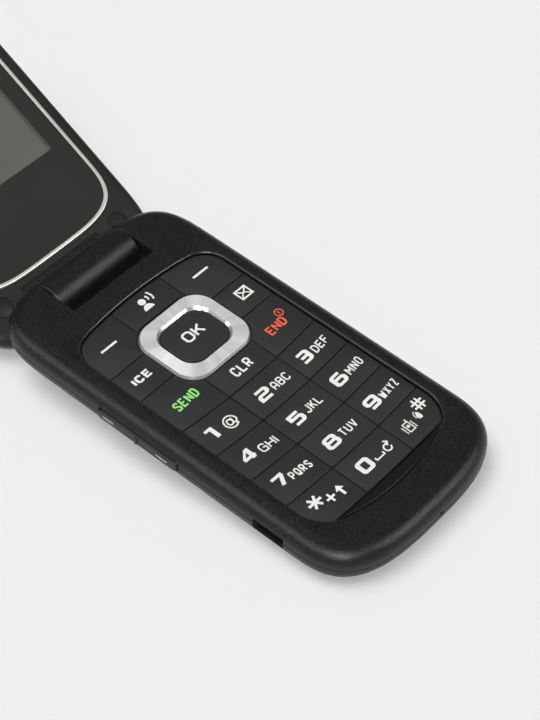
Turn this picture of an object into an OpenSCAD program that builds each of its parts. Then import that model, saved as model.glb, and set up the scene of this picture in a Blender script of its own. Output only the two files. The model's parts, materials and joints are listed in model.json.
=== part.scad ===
// Folding mobile phone, opened flat on a table.
// Millimetres. +Z is up, the table is the plane z = 0, +X is the phone's right
// and +Y runs from the keypad end towards the tip of the opened lid.
// The keypad half is drawn lying flat in its own frame (on_base), the lid in a
// frame whose origin is the hinge axis and whose +Y runs to the lid's tip (on_lid).

/* [Keypad half] */
// Width of the keypad half
base_w = 52; // [49:0.5:56]
// Length of the keypad half
base_len = 100.9; // [98:0.1:108]
// Thickness of the keypad half
base_h = 9.2; // [9:0.1:11]
// Depth of the rounded bottom end
bottom_end = 17.1; // [12:0.1:24]
// Squareness of the rounded bottom end
bottom_power = 3; // [2.4:0.1:4]
// Depth of the rounded hinge end
hinge_end = 19.4; // [14:0.1:24]
// Squareness of the rounded hinge end
hinge_power = 3.8; // [2.8:0.1:4.5]
// Radius of the upper edge
top_round = 3.5; // [2.5:0.1:4]
// Radius of the lower edge
bottom_round = 4.6; // [3.5:0.1:4.7]
// Wall thickness of the casings
wall = 1.2; // [1:0.05:1.4]
// Height of the joint line between the two casings of the keypad half
parting_h = 5; // [4.8:0.1:5.2]
// Height of the battery cover's rim
cover_rim_h = 1.9; // [1.6:0.1:2.2]
// Thickness of the battery cover's floor
cover_t = 1; // [0.8:0.05:1.1]
// How far the battery cover laps past the battery bay towards the hinge
cover_lap = 0.5; // [0.2:0.1:1]

/* [Hinge] */
// Height of the hinge axis above the keypad half's underside
axis_h = 5; // [4.9:0.05:5.2]
// Distance of the hinge axis from the hinge end
axis_back = 5; // [4.9:0.05:5.3]
// Angle between the two halves when fully open
open_angle = 153.1; // [140:0.1:165]
// Radius of the lid's hinge barrel
barrel_r = 4.8; // [4.2:0.1:4.9]
// Half width of the slot that the barrel turns in
slot_half = 12.2; // [11:0.1:14]
// Depth of the slot in front of the barrel's axis
slot_front = 8.4; // [7.5:0.1:9]
// Gap between the barrel's ends and the slot
barrel_gap = 0.15; // [0.1:0.01:0.3]
// Radius of the spring hinge cartridge inside the barrel
cartridge_r = 2.9; // [2.5:0.1:3.1]
// Length of the cartridge inside the barrel
cartridge_len = 7; // [5:0.1:7]
// Radius of the cartridge's head, which turns in the keypad half's left lobe
head_r = 2.2; // [1.8:0.1:2.3]
// Length of the cartridge's head inside the lobe
head_reach = 4.5; // [3:0.1:4.8]
// Radius of the plain hinge pin on the right
hinge_pin_r = 2; // [1.6:0.1:2.2]
// How far the pin reaches into the barrel
pin_reach = 6; // [4:0.1:6.5]
// Length of the pin inside the right lobe
pin_seat = 5.5; // [4:0.1:6]
// Running clearance of the cartridge's head and of the pin
hinge_fit = 0.05; // [0.02:0.01:0.09]

/* [Lid] */
// How far the lid's sides stand in from the keypad half's
lid_inset = 0.1; // [0:0.05:1]
// Thickness of the lid without the raised display frame
lid_t = 7.15; // [6.9:0.05:9]
// Gap between the display frame and the keypad half when closed
lid_gap = 0.5; // [0.4:0.05:1]
// Height of the display frame above the lid's inner face
frame_raise = 0.65; // [0.5:0.05:0.8]
// Radius of the lid's inner edge
lid_in_round = 2.2; // [1.8:0.1:2.4]
// Radius of the lid's outer edge
lid_out_round = 4.6; // [3.5:0.1:4.7]
// Length of the neck between the barrel and the lid's face
neck_reach = 6.7; // [6:0.1:7]
// Height of the neck above the lid's face
neck_rise = 0.3; // [0.2:0.05:0.4]
// Radius of the rubber screw covers
screw_cover_r = 2.35; // [2:0.05:2.5]
// Thickness of the rubber screw covers
screw_cover_t = 0.6; // [0.4:0.05:0.7]
// Distance of the screw covers from the lid's sides
screw_cover_side = 8.04; // [7:0.02:9]
// Distance of the screw covers from the hinge axis
screw_cover_w = 5.8; // [5:0.1:6]
// Radius of the rubber bumpers at the lid's tip
bumper_r = 1.5; // [1.2:0.1:1.8]
// Height of the bumpers above the lid's face
bumper_rise = 0.9; // [0.6:0.05:1]
// Depth of the bumpers' seats
bumper_sink = 0.5; // [0.3:0.05:0.6]
// Distance of the bumpers from the lid's sides
bumper_side = 12.9; // [10:0.1:14]
// Distance of the bumpers from the lid's tip
bumper_back = 3.4; // [3:0.1:3.8]

/* [Main display] */
// Distance of the silver frame's middle line from the lid's sides
frame_side = 4.15; // [3.7:0.05:5.7]
// Width of the silver line
frame_line = 0.9; // [0.7:0.05:1.2]
// Distance of the frame's lower end from the hinge axis
frame_start = 8.8; // [8.3:0.05:10]
// Distance of the frame's upper end from the lid's tip
frame_tip = 5.7; // [4.9:0.1:9.9]
// Depth of the frame's rounded ends
frame_end = 13.75; // [10:0.1:17]
// Squareness of the frame's rounded ends
frame_power = 4; // [3:0.1:5]
// Thickness of the display window
window_t = 1; // [0.8:0.05:1.2]
// Width of the visible picture area
picture_w = 33.8; // [28:0.1:36]
// Height of the visible picture area
picture_h = 42.5; // [36:0.1:45]
// How far the picture's centre lies below the middle of the window
picture_drop = 0.65; // [-2:0.05:3]
// Border of the display module around the picture
module_border = 1.4; // [1:0.1:2]
// Thickness of the display module
module_t = 1.9; // [1.5:0.1:2]
// Width of the earpiece slot
ear_w = 10; // [8:0.5:12]
// Height of the earpiece slot
ear_h = 1.5; // [1.2:0.1:2]
// Distance of the earpiece from the frame's upper end
ear_drop = 9.2; // [8.2:0.1:11.2]

/* [Lid's outer face] */
// Width of the outer window
outer_w = 34; // [28:0.5:36]
// Height of the outer window
outer_h = 26; // [22:0.5:30]
// Distance of the outer window's centre from the hinge axis
outer_at = 47; // [44:0.5:50]
// Thickness of the outer window
outer_window_t = 0.7; // [0.5:0.05:0.8]
// Radius of the camera lens cover
lens_r = 3.6; // [3:0.1:4]
// Distance of the camera from the hinge axis
camera_at = 73; // [70:0.5:76]

/* [Keypad] */
// Distance of the key field from the keypad half's sides
pad_side = 5; // [4.8:0.05:5.6]
// Radius of the key field's upper corners
pad_top_r = 6.2; // [5:0.1:7.5]
// Radius of the key field's lower corners
pad_low_r = 8.8; // [7:0.1:10]
// Distance of the key field's upper corners from the hinge slot
pad_top_gap = 6.45; // [6.25:0.05:7.45]
// How far the key field's top edge arches above its corners
pad_arch = 1.2; // [0.6:0.1:1.6]
// Distance of the key field's lower corners from the bottom end
pad_low_gap = 11.15; // [10.5:0.05:11.5]
// How far the key field bulges below its corners
pad_bulge = 1.75; // [1:0.05:2.4]
// Distance of the bottom key row from the key field's lower corners
row_lift = 1.4; // [1.2:0.05:1.7]
// Gap between the crescent below the keys and the casing
trim_gap = 0.6; // [0.4:0.1:1]
// Height of the softkey row at its outer corners
soft_row = 11.78; // [11.4:0.01:12.2]
// Height of the call row
call_row = 12.45; // [12:0.05:12.8]
// Height of the row beside the navigation ring
side_row = 8.35; // [8:0.05:8.8]
// Half width of the middle key column
column_half = 7.4; // [6.8:0.01:7.8]
// How far the call row's lower edge curves upwards at the sides
row_sag = 1.15; // [0.4:0.05:1.4]
// Share of that curve which each row below it loses
sag_fade = 0.12; // [0:0.01:0.2]
// Gap between neighbouring keys
key_gap = 0.3; // [0.2:0.05:0.4]
// Gap between the keys and the casing
rim_gap = 0.35; // [0.2:0.05:0.4]
// Depth of the key tops below the casing
key_recess = 0.55; // [0.4:0.05:0.7]
// Thickness of a key cap
key_t = 0.8; // [0.6:0.05:0.9]
// Travel of a key
key_travel = 0.4; // [0.3:0.05:0.45]
// Spare space under a pressed key
key_spare = 0.1; // [0.05:0.05:0.15]

/* [Navigation ring] */
// Half width of the ring
ring_half_w = 10.75; // [10.4:0.05:11.2]
// Half height of the ring
ring_half_h = 9.7; // [9.4:0.05:10.1]
// Corner radius of the ring
ring_r = 5.7; // [5:0.1:7]
// Height of the ring above the casing's face
ring_rise = 0.1; // [0:0.05:0.3]
// Distance of the ring's centre from the key field's upper corners
ring_drop = 16.25; // [16:0.05:16.6]
// Half width of the centre key
ok_half_w = 6.6; // [6:0.05:6.8]
// Half height of the centre key
ok_half_h = 5.5; // [5.2:0.05:5.8]
// Corner radius of the centre key
ok_r = 3.9; // [3:0.1:4.5]
// Tilt of the ring each way, in degrees
ring_tilt = 1.5; // [1:0.1:1.6]
// Thickness of the ring's carrier
carrier_t = 0.35; // [0.3:0.05:0.4]

/* [Side keys and sockets] */
// Length of the volume key
volume_len = 21.5; // [18:0.1:24]
// Distance of the volume key's centre from the key field's upper corners
volume_drop = 24.3; // [22.6:0.1:26.6]
// Tilt of the volume key each way, in degrees
volume_tilt = 1.5; // [1:0.1:1.6]
// Height of the side keys
side_key_h = 2.4; // [2:0.1:2.8]
// Length of the two keys on the right side
side_key_len = 9.2; // [8:0.1:9.6]
// Distance of the upper right side key's centre from the key field's upper corners
side_key_drop = 26; // [24.6:0.1:26.2]
// Distance between the centres of the two right side keys
side_key_pitch = 10.9; // [10.1:0.1:11.6]
// How far the volume key stands proud
side_proud = 0.3; // [0.2:0.05:0.4]
// How far the two keys on the right side stand proud
right_proud = 0.7; // [0.4:0.05:0.8]
// Travel of the right side keys
side_travel = 0.25; // [0.15:0.05:0.3]
// Depth of the side keys
side_depth = 2.2; // [2:0.1:2.6]
// Clearance around the side keys
side_gap = 0.15; // [0.1:0.01:0.2]
// Distance of the charging socket's centre from the bottom end
port_up = 22.35; // [21.45:0.05:23.45]
// Width of the charging socket's shell
port_w = 7.5; // [7.4:0.05:8.2]
// Height of the charging socket's shell
port_h = 2.4; // [2.2:0.05:2.6]
// Depth of the charging socket
port_depth = 5.2; // [4.8:0.1:5.6]
// Wall of the charging socket's shell
port_wall = 0.25; // [0.2:0.05:0.3]
// Radius of the headset jack's bore
jack_bore_r = 1.8; // [1.77:0.01:1.85]
// Wall of the headset jack's sleeve
jack_wall = 0.5; // [0.4:0.05:0.55]
// Length of the headset jack
jack_len = 12; // [10:0.5:12.5]
// Distance of the headset jack's centre from the hinge axis
jack_drop = 12.05; // [11.85:0.05:12.25]
// Offset of the microphone hole from the middle
mic_x = 1.7; // [0:0.1:4]
// Radius of the microphone hole
mic_hole_r = 0.45; // [0.3:0.05:0.6]

/* [Inside] */
// Thickness of the rubber keypad mat
mat_t = 0.4; // [0.3:0.05:0.45]
// Thickness of the dome sheet
dome_t = 0.2; // [0.1:0.05:0.25]
// Thickness of the circuit boards
board_t = 0.8; // [0.6:0.05:0.85]
// Thickness of the deck above the battery
deck_t = 0.5; // [0.4:0.05:0.6]
// Gap between stacked inner parts
stack_gap = 0.05; // [0.02:0.01:0.08]
// Half width of the battery bay
bay_half = 17.3; // [16:0.1:18]
// Distance of the battery bay from the bottom end
bay_low_gap = 27.45; // [26.45:0.5:30.45]
// Distance of the battery bay from the hinge slot
bay_high_gap = 10.05; // [9.55:0.5:13.05]
// Clearance around the battery
bay_gap = 0.15; // [0.1:0.05:0.3]
// Wall around the battery bay
bay_wall = 1.2; // [0.8:0.1:1.4]
// Thickness of the lower casing's floor
floor_t = 1.1; // [0.9:0.05:1.2]
// Radius of the casing screws' shanks
screw_r = 0.7; // [0.6:0.05:0.8]
// Radius of the casing screws' heads
screw_head_r = 1.5; // [1.3:0.1:1.6]
// Thickness of the screw heads
screw_head_t = 0.7; // [0.5:0.05:0.8]
// Clearance around screws
screw_gap = 0.08; // [0.05:0.01:0.12]
// Wall of the screw posts
post_wall = 0.7; // [0.6:0.05:0.9]
// Distance of the upper casing screws from the casing's sides
screw_side_high = 3.4; // [3.3:0.05:3.5]
// Distance of the upper casing screws from the key field's upper corners
screw_drop_high = 6.3; // [6:0.1:6.4]
// Distance of the lower casing screws from the casing's sides
screw_side_low = 9.5; // [9.4:0.05:9.6]
// Distance of the lower casing screws from the bottom end
screw_up_low = 10.95; // [10.85:0.05:10.95]
// Width of the shield can at the bottom end
can_w = 14; // [10:0.5:15]
// Length of the shield can at the bottom end
can_len = 16; // [12:0.5:17]
// Thickness of the shield cans
can_t = 1.4; // [1:0.1:1.5]
// Radius of the vibration motor
motor_r = 1.3; // [1:0.05:1.4]
// Length of the vibration motor's body
motor_len = 8; // [6:0.5:9]
// Length of the vibration motor's off-centre weight
weight_len = 2.5; // [2:0.1:3]
// Radius of the microphone
mic_r = 1.5; // [1.2:0.1:1.7]
// Height of the microphone
mic_t = 1.2; // [0.9:0.1:1.3]
// Width of the loudspeaker
speaker_w = 9; // [8:0.5:10]
// Length of the loudspeaker
speaker_len = 6.4; // [5.4:0.1:6.5]
// Fit of glued and clipped parts in their seats
seat_gap = 0.05; // [0.02:0.01:0.08]

/* [Hidden] */
$fn = 48;
SOFT_BLACK = "#1b1c1d";
SIDE_GREY = "#2b2c2e";
KEY_GREY = "#343536";
SILVER = "#c9cac7";
BOARD_GREEN = "#1f5a3a";
METAL = "#b4b6b8";
RUBBER = "#232425";
GOLD = "#c8a24a";

// Directions round a quarter of an end, closer together at its two ends
QUARTER = [0, 1.5, 5, 12, 22, 34, 45, 56, 68, 78, 85, 88.5, 90];
EDGE_STEPS = 5;
EPS = 0.01;
// How far a cut runs on past the face that it opens
OVER = 1;

// Levels of the keypad half, from its underside
key_top = base_h - key_recess;
key_low = key_top - key_t;
mat_top = key_low - key_travel - key_spare;
mat_low = mat_top - mat_t;
dome_top = mat_low - stack_gap;
board_top = dome_top - dome_t;
board_low = board_top - board_t;
deck_top = board_low - stack_gap;
deck_low = deck_top - deck_t;
battery_low = cover_t + bay_gap;
battery_top = deck_low - bay_gap;
floor_top = cover_rim_h + floor_t;
side_mid_h = parting_h - 0.1;

// Places along the keypad half, from its middle. The upper rows, the ring and the side keys
// hang from the hinge slot, and the four number rows share what is left above the bottom end.
axis_y = base_len / 2 - axis_back;
slot_y = axis_y - slot_front;
pad_top_y = slot_y - pad_top_gap;
pad_low_y = -base_len / 2 + pad_low_gap;
row_soft = pad_top_y - soft_row;
row_side = row_soft - side_row;
row_call = row_side - call_row;
row_start = pad_low_y + row_lift;
row_pitch = (row_call - row_start) / 4;
row_2 = row_start + row_pitch;
row_3 = row_2 + row_pitch;
row_4 = row_3 + row_pitch;
ring_at = pad_top_y - ring_drop;
bay_low_y = -base_len / 2 + bay_low_gap;
bay_high_y = slot_y - bay_high_gap;
cover_end_y = bay_high_y + bay_wall + cover_lap;
volume_at = pad_top_y - volume_drop;
upper_side_at = pad_top_y - side_key_drop;
lower_side_at = upper_side_at - side_key_pitch;
port_at = -base_len / 2 + port_up;
jack_at = axis_y - jack_drop;

// Places across, from the middle
pad_half = base_w / 2 - pad_side;
lid_w = base_w - 2 * lid_inset;
frame_half = lid_w / 2 - frame_side;
screw_cover_x = lid_w / 2 - screw_cover_side;
bumper_x = lid_w / 2 - bumper_side;

// Levels of the lid, from the hinge axis
chin_z = -(base_h - axis_h + lid_gap + frame_raise);
lid_back_z = chin_z - lid_t;
lid_seam_z = chin_z - lid_in_round;
frame_z = chin_z + frame_raise;
window_z = frame_z - seat_gap;
window_low_z = window_z - window_t;
plate_low_z = chin_z - wall;
module_top_z = plate_low_z - stack_gap;
module_low_z = module_top_z - module_t;
lid_board_top_z = module_low_z - stack_gap;
lid_board_low_z = lid_board_top_z - board_t;
outer_wall_z = lid_back_z + wall;

// Places along the lid, from the hinge axis
tip_w = axis_y + base_len / 2;
frame_stop = tip_w - frame_tip;
picture_mid = (frame_start + frame_stop) / 2 - picture_drop;
ear_at = frame_stop - ear_drop;

// How the opened phone stands on the table: on the lower edge of the keypad
// half's bottom end and on the outer edge of the lid's hinge end
lid_rise = 180 - open_angle;
knee_w = -axis_back + lid_out_round;
knee_z = lid_back_z + lid_out_round;
knee = [axis_y + knee_w * cos(lid_rise) - knee_z * sin(lid_rise),
        axis_h + knee_w * sin(lid_rise) + knee_z * cos(lid_rise)];
toe = [-base_len / 2 + bottom_round, bottom_round];
span = knee - toe;
stance = -atan2(span.y, span.x) - asin((bottom_round - lid_out_round) / norm(span));
lift = bottom_round - toe.x * sin(stance) - toe.y * cos(stance);
tip = [axis_y + tip_w * cos(lid_rise) - lid_seam_z * sin(lid_rise),
       axis_h + tip_w * sin(lid_rise) + lid_seam_z * cos(lid_rise)];
centre_y = (-base_len / 2 * cos(stance) - parting_h * sin(stance)
            + tip.x * cos(stance) - tip.y * sin(stance)) / 2;

// ---- frames ----
module on_base() {
    translate([0, -centre_y, lift]) rotate([stance, 0, 0]) children();
}

module on_lid() {
    on_base() translate([0, axis_y, axis_h]) rotate([lid_rise, 0, 0]) children();
}

// ---- outlines ----
function power_of(v, p) = sign(v) * pow(abs(v), p);

// One quarter-swept end: half width a, depth d, squareness n, first angle t0
function end_points(a, d, n, mid, t0) = [
    for (k = [0 : len(QUARTER) - 1])
        let (t = t0 + QUARTER[k])
        [a * power_of(cos(t), 2 / n), mid + d * power_of(sin(t), 2 / n)]
];

// Closed outline with two different rounded ends, counter-clockwise
function oblong(half, low, high, low_end, low_n, high_end, high_n) = concat(
    end_points(half, high_end, high_n, high - high_end, 0),
    [for (k = [1 : len(QUARTER) - 1]) end_points(half, high_end, high_n, high - high_end, 90)[k]],
    end_points(half, low_end, low_n, low + low_end, 180),
    [for (k = [1 : len(QUARTER) - 1]) end_points(half, low_end, low_n, low + low_end, 270)[k]]
);

// Outline of the keypad half, taken in by g
function base_outline(g) = oblong(base_w / 2 - g, -base_len / 2 + g, base_len / 2 - g,
                                  bottom_end - g, bottom_power, hinge_end - g, hinge_power);

// Outline of the lid in the lid's frame, taken in by g
function lid_outline(g) = oblong(lid_w / 2 - g, -axis_back + g, tip_w - g,
                                 hinge_end - g, hinge_power, bottom_end - g, bottom_power);

// Outline of the display frame, grown by g
function frame_outline(g) = oblong(frame_half + g, frame_start - g, frame_stop + g,
                                   frame_end + g, frame_power, frame_end + g, frame_power);

function arc(c, r, a, b, n) = [for (k = [0 : n]) c + r * [cos(a + (b - a) * k / n), sin(a + (b - a) * k / n)]];

// Outline of the key field, grown by g: its corners turn nearly a right angle, and two long
// bows join them
top_turn = 84;
low_turn = 82;
bow_lap = 1;
function bow_radius(half, rise) = (half * half + rise * rise) / (2 * rise);
pad_top_centre = [pad_half - pad_top_r, pad_top_y - pad_top_r];
pad_low_centre = [pad_half - pad_low_r, pad_low_y + pad_low_r];
arch_r = bow_radius(pad_top_centre.x + bow_lap, pad_arch);
arch_centre = [0, pad_top_y + pad_arch - arch_r];
arch_angle = asin(pad_top_centre.x / arch_r);
bulge_r = bow_radius(pad_low_centre.x + bow_lap, pad_bulge);
bulge_centre = [0, pad_low_y - pad_bulge + bulge_r];
bulge_angle = asin(pad_low_centre.x / bulge_r);
function pad_outline(g) = concat(
    arc(pad_top_centre, pad_top_r + g, 0, top_turn, 8),
    arc(arch_centre, arch_r + g, 90 - arch_angle, 90 + arch_angle, 10),
    arc([-pad_top_centre.x, pad_top_centre.y], pad_top_r + g, 180 - top_turn, 180, 8),
    arc([-pad_low_centre.x, pad_low_centre.y], pad_low_r + g, 180, 180 + low_turn, 8),
    arc(bulge_centre, bulge_r + g, 270 - bulge_angle, 270 + bulge_angle, 12),
    arc(pad_low_centre, pad_low_r + g, 360 - low_turn, 360, 8)
);

// A solid through a stack of outlines: rings = [[z, points], ...] from the bottom up
module loft(rings) {
    n = len(rings[0][1]);
    m = len(rings);
    polyhedron(
        points = [for (r = rings) for (p = r[1]) [p.x, p.y, r[0]]],
        faces = concat(
            [[for (i = [0 : n - 1]) i]],
            [[for (i = [n - 1 : -1 : 0]) (m - 1) * n + i]],
            [for (j = [0 : m - 2]) for (i = [0 : n - 1])
                [j * n + i, (j + 1) * n + i, (j + 1) * n + (i + 1) % n, j * n + (i + 1) % n]]
        )
    );
}

// How far a rounded edge of radius r is taken in at height h above the flat side
function edge_in(h, r) = h >= r ? 0 : r - sqrt(r * r - (r - h) * (r - h));
function steps(a, b, n) = [for (k = [0 : n]) a + (b - a) * k / n];

// Heights that follow a rounded edge evenly, from h0 up to the radius
function edge_heights(h0, r) = let (a0 = acos(min(1, (r - h0) / r)))
    [for (k = [0 : EDGE_STEPS]) r - r * cos(a0 + (90 - a0) * k / EDGE_STEPS)];

module flat(points, low, high) {
    translate([0, 0, low]) linear_extrude(high - low) polygon(points);
}

module rounded(w, h, r, low, high) {
    translate([0, 0, low]) linear_extrude(high - low) union() {
        square([w, h - 2 * r], center = true);
        square([w - 2 * r, h], center = true);
        for (x = [-1, 1]) for (y = [-1, 1])
            translate([x * (w / 2 - r), y * (h / 2 - r)]) circle(r);
    }
}

module block(x0, x1, y0, y1, z0, z1) {
    translate([x0, y0, z0]) cube([x1 - x0, y1 - y0, z1 - z0]);
}

// A rod along X
module rod(x0, x1, r) {
    translate([x0, 0, 0]) rotate([0, 90, 0]) cylinder(h = x1 - x0, r = r);
}

module at_axis() {
    translate([0, axis_y, axis_h]) children();
}

// ---- keypad half: shared shapes ----
module upper_shape() {
    loft(concat(
        [[parting_h, base_outline(0)]],
        [for (h = [for (k = [EDGE_STEPS : -1 : 0]) edge_heights(0, top_round)[k]])
            [base_h - h, base_outline(edge_in(h, top_round))]]
    ));
}

module lower_shape(low, high) {
    heights = edge_heights(low, bottom_round);
    loft(concat(
        [for (h = heights) if (h < high - EPS) [h, base_outline(edge_in(h, bottom_round))]],
        [[high, base_outline(edge_in(high, bottom_round))]]
    ));
}

// The slot that the lid's barrel turns in, open at the back and below
module barrel_slot() {
    block(-slot_half, slot_half, slot_y, base_len, -OVER, base_h + OVER);
}

// Bore of the hinge cartridge's head (left) and seat of the hinge pin (right)
module hinge_seats() {
    at_axis() {
        rod(-slot_half - head_reach - end_gap, -slot_half + OVER, head_r + hinge_fit);
        rod(slot_half - OVER, slot_half + pin_seat + seat_gap, hinge_pin_r + seat_gap);
    }
}
end_gap = 0.2;

side_key_out = base_w / 2 + side_proud;
side_key_in = side_key_out - side_depth;

// Openings in both casings for side keys, sockets and the microphone
module side_openings() {
    volume_space(side_gap);
    for (y = [lower_side_at, upper_side_at]) side_key_space(y, side_gap);
    block(-base_w / 2 - OVER, -base_w / 2 + port_setback + port_depth + side_gap,
          port_at - port_w / 2 - side_gap, port_at + port_w / 2 + side_gap,
          port_mid_h - port_h / 2 - side_gap, port_mid_h + port_h / 2 + side_gap);
    jack_space(side_gap);
    translate([mic_x, -base_len / 2 - OVER, mic_h]) rotate([-90, 0, 0])
        cylinder(h = mic_reach + OVER, r = mic_hole_r);
}

port_setback = 0.8;
port_mid_h = 4.2;
mic_h = 3.7;
mic_reach = 3.4;

module volume_space(g) {
    block(-base_w / 2 - OVER, -side_key_in + g, volume_at - volume_len / 2 - g,
          volume_at + volume_len / 2 + g, side_mid_h - side_key_h / 2 - g,
          side_mid_h + side_key_h / 2 + g);
}

module side_key_space(y, g) {
    block(side_key_in - side_travel - g, base_w / 2 + OVER, y - side_key_len / 2 - g,
          y + side_key_len / 2 + g, side_mid_h - side_key_h / 2 - g,
          side_mid_h + side_key_h / 2 + g);
}

jack_r = jack_bore_r + jack_wall;
jack_setback = 0.4;
jack_out = base_w / 2 - jack_setback;
module jack_space(g) {
    translate([0, jack_at, parting_h]) rod(jack_out - jack_len - g, base_w / 2 + OVER, jack_r + g);
}

screw_high = [base_w / 2 - screw_side_high, pad_top_y - screw_drop_high];
screw_low = [base_w / 2 - screw_side_low, -base_len / 2 + screw_up_low];
screw_places = [for (p = [screw_high, screw_low]) for (side = [-1, 1]) [side * p.x, p.y]];
screw_len = key_low - floor_top + screw_head_t;
post_r = screw_r + screw_gap + post_wall;

// ---- keypad half: casings ----
module front_housing() {
    cavity_top = base_h - wall;
    color(SOFT_BLACK) on_base() difference() {
        upper_shape();
        difference() {
            loft([for (h = steps(parting_h - OVER, cavity_top, 5))
                [h, base_outline(wall + edge_in(max(0, base_h - h), top_round))]]);
            // the lobes either side of the barrel, and the slot's front wall, stay solid
            block(-base_w, base_w, slot_y - wall, base_len, 0, base_h);
            // posts that the casing screws bite in
            for (p = screw_places) translate([p.x, p.y, board_top + stack_gap])
                cylinder(h = base_h, r = post_r);
        }
        flat(pad_outline(0), cavity_top - OVER, base_h + OVER);
        barrel_slot();
        hinge_seats();
        side_openings();
        for (p = screw_places) translate([p.x, p.y, 0])
            cylinder(h = key_low + screw_gap, r = screw_r + seat_gap);
    }
}

module bay_shape(g, low, high) {
    block(-bay_half - g, bay_half + g, bay_low_y - g, bay_high_y + g, low, high);
}

module rear_housing() {
    color(SIDE_GREY) on_base() difference() {
        union() {
            // outer form, stepped back where the battery cover lies
            difference() {
                lower_shape(0, parting_h);
                block(-base_w, base_w, -base_len, cover_end_y + seat_gap, -OVER, cover_rim_h);
            }
            // deck above the battery
            bay_shape(bay_wall, cover_rim_h, deck_top);
            for (p = screw_places) translate([p.x, p.y, cover_rim_h])
                cylinder(h = board_low - stack_gap - cover_rim_h, r = post_r + post_wall);
        }
        // trough between the outer wall and the battery bay
        difference() {
            flat(base_outline(wall + rib), floor_top, base_h);
            bay_shape(bay_wall, 0, base_h);
            block(-base_w, base_w, slot_y - wall, base_len, 0, base_h);
            for (p = screw_places) translate([p.x, p.y, 0]) cylinder(h = base_h, r = post_r + post_wall);
        }
        bay_shape(0, -OVER, deck_low);
        block(-slot_half, slot_half, slot_y, base_len, slot_shelf_h, base_h);
        block(-slot_half, slot_half, axis_y - slot_shelf_back, base_len, -OVER, base_h);
        hinge_seats();
        side_openings();
        for (p = screw_places) translate([p.x, p.y, 0]) {
            cylinder(h = base_h, r = screw_r + screw_gap);
            cylinder(h = floor_top, r = screw_head_r + screw_gap);
        }
        for (c = contact_places) translate([c, bay_high_y - OVER, contact_h])
            rotate([-90, 0, 0]) cylinder(h = bay_wall + contact_back + 2 * OVER, r = contact_r + seat_gap);
        for (k = [-1 : 1]) translate([speaker_x + k * speaker_hole_pitch, speaker_y, -OVER])
            cylinder(h = floor_top + 1.5 * OVER, r = speaker_hole_r);
    }
}

// Extra thickness of both casings' walls beside the inner parts
rib = 0.3;
slot_shelf_h = 1.2;
slot_shelf_back = 3.7;
contact_pitch = 4;
contact_places = [for (k = [-1 : 1]) k * contact_pitch];
contact_h = 3.2;
contact_r = 0.5;
contact_back = 1.6;
speaker_side = 11.5;
speaker_x = -base_w / 2 + speaker_side;
speaker_drop = 5.25;
speaker_y = slot_y - speaker_drop;
speaker_r = 1.5;
speaker_t = 2.6;
speaker_hole_pitch = 2.2;
speaker_hole_r = 0.7;

module battery_cover() {
    color(SIDE_GREY) on_base() difference() {
        intersection() {
            lower_shape(0, cover_rim_h - seat_gap);
            block(-base_w, base_w, -base_len, cover_end_y, -OVER, base_h);
        }
        // hollow above the cover's floor, under the battery, open towards the hinge
        bay_shape(0, cover_t, base_h);
        block(-bay_half, bay_half, bay_high_y - OVER, base_len, cover_t, base_h);
    }
}

module battery_pack() {
    color("#3b4654") on_base() bay_shape(-bay_gap, battery_low, battery_top);
}

module battery_contacts() {
    color(GOLD) on_base() for (c = contact_places)
        translate([c, bay_high_y - bay_gap + seat_gap, contact_h]) rotate([-90, 0, 0])
            cylinder(h = bay_wall + contact_back, r = contact_r);
}

// ---- keypad half: inside ----
board_gap = 0.8;
board_in = wall + board_gap;
board_lap = 0.2;
board_end_y = pad_top_y + board_lap;
// How far the volume key's ends swing inwards, and the room for the switches round the side keys
volume_swing = volume_len / 2 * sin(volume_tilt);
switch_room = 1;
switch_gap = 0.3;

module board_shape(low, high) {
    difference() {
        flat(base_outline(board_in), low, high);
        block(-base_w, base_w, board_end_y, base_len, 0, base_h);
        for (p = screw_places) translate([p.x, p.y, 0])
            cylinder(h = base_h, r = post_r + post_wall + side_gap);
        block(-base_w, -side_key_in + 2 * side_gap + volume_swing, volume_at - volume_len / 2 - switch_room,
              volume_at + volume_len / 2 + switch_room, 0, base_h);
        block(side_key_in - side_travel - 2 * side_gap - switch_gap, base_w,
              lower_side_at - side_key_len / 2 - switch_room,
              upper_side_at + side_key_len / 2 + switch_room, 0, base_h);
    }
}

module main_board() {
    color(BOARD_GREEN) on_base() board_shape(board_low, board_top);
}

can_mid_x = -4;
can_up = 4.45;
upper_can_half = 9;
upper_can_gap = 0.3;
module shield_cans() {
    can_low_y = -base_len / 2 + can_up;
    color(METAL) on_base() {
        block(can_mid_x - can_w / 2, can_mid_x + can_w / 2, can_low_y, can_low_y + can_len,
              board_low - can_t, board_low);
        block(-upper_can_half, upper_can_half, bay_high_y + bay_wall + upper_can_gap,
              board_end_y - board_lap, board_low - can_t, board_low);
    }
}

module dome_sheet() {
    color("#cfd2c8") on_base() board_shape(board_top, dome_top);
}

module keypad_mat() {
    color(RUBBER) on_base() flat(pad_outline(-rim_gap), mat_low, mat_top);
}

// Crescent below the bottom key row
module keypad_trim() {
    color(KEY_GREY) on_base() difference() {
        flat(pad_outline(-trim_gap), mat_top + stack_gap, key_top - trim_drop);
        flat(concat([for (x = steps(-pad_edge, pad_edge, 12)) [x, row_y(row_start, x) - key_gap / 2]],
                    [[pad_edge, base_len], [-pad_edge, base_len]]), 0, base_h);
    }
}
trim_drop = 0.1;

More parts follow.
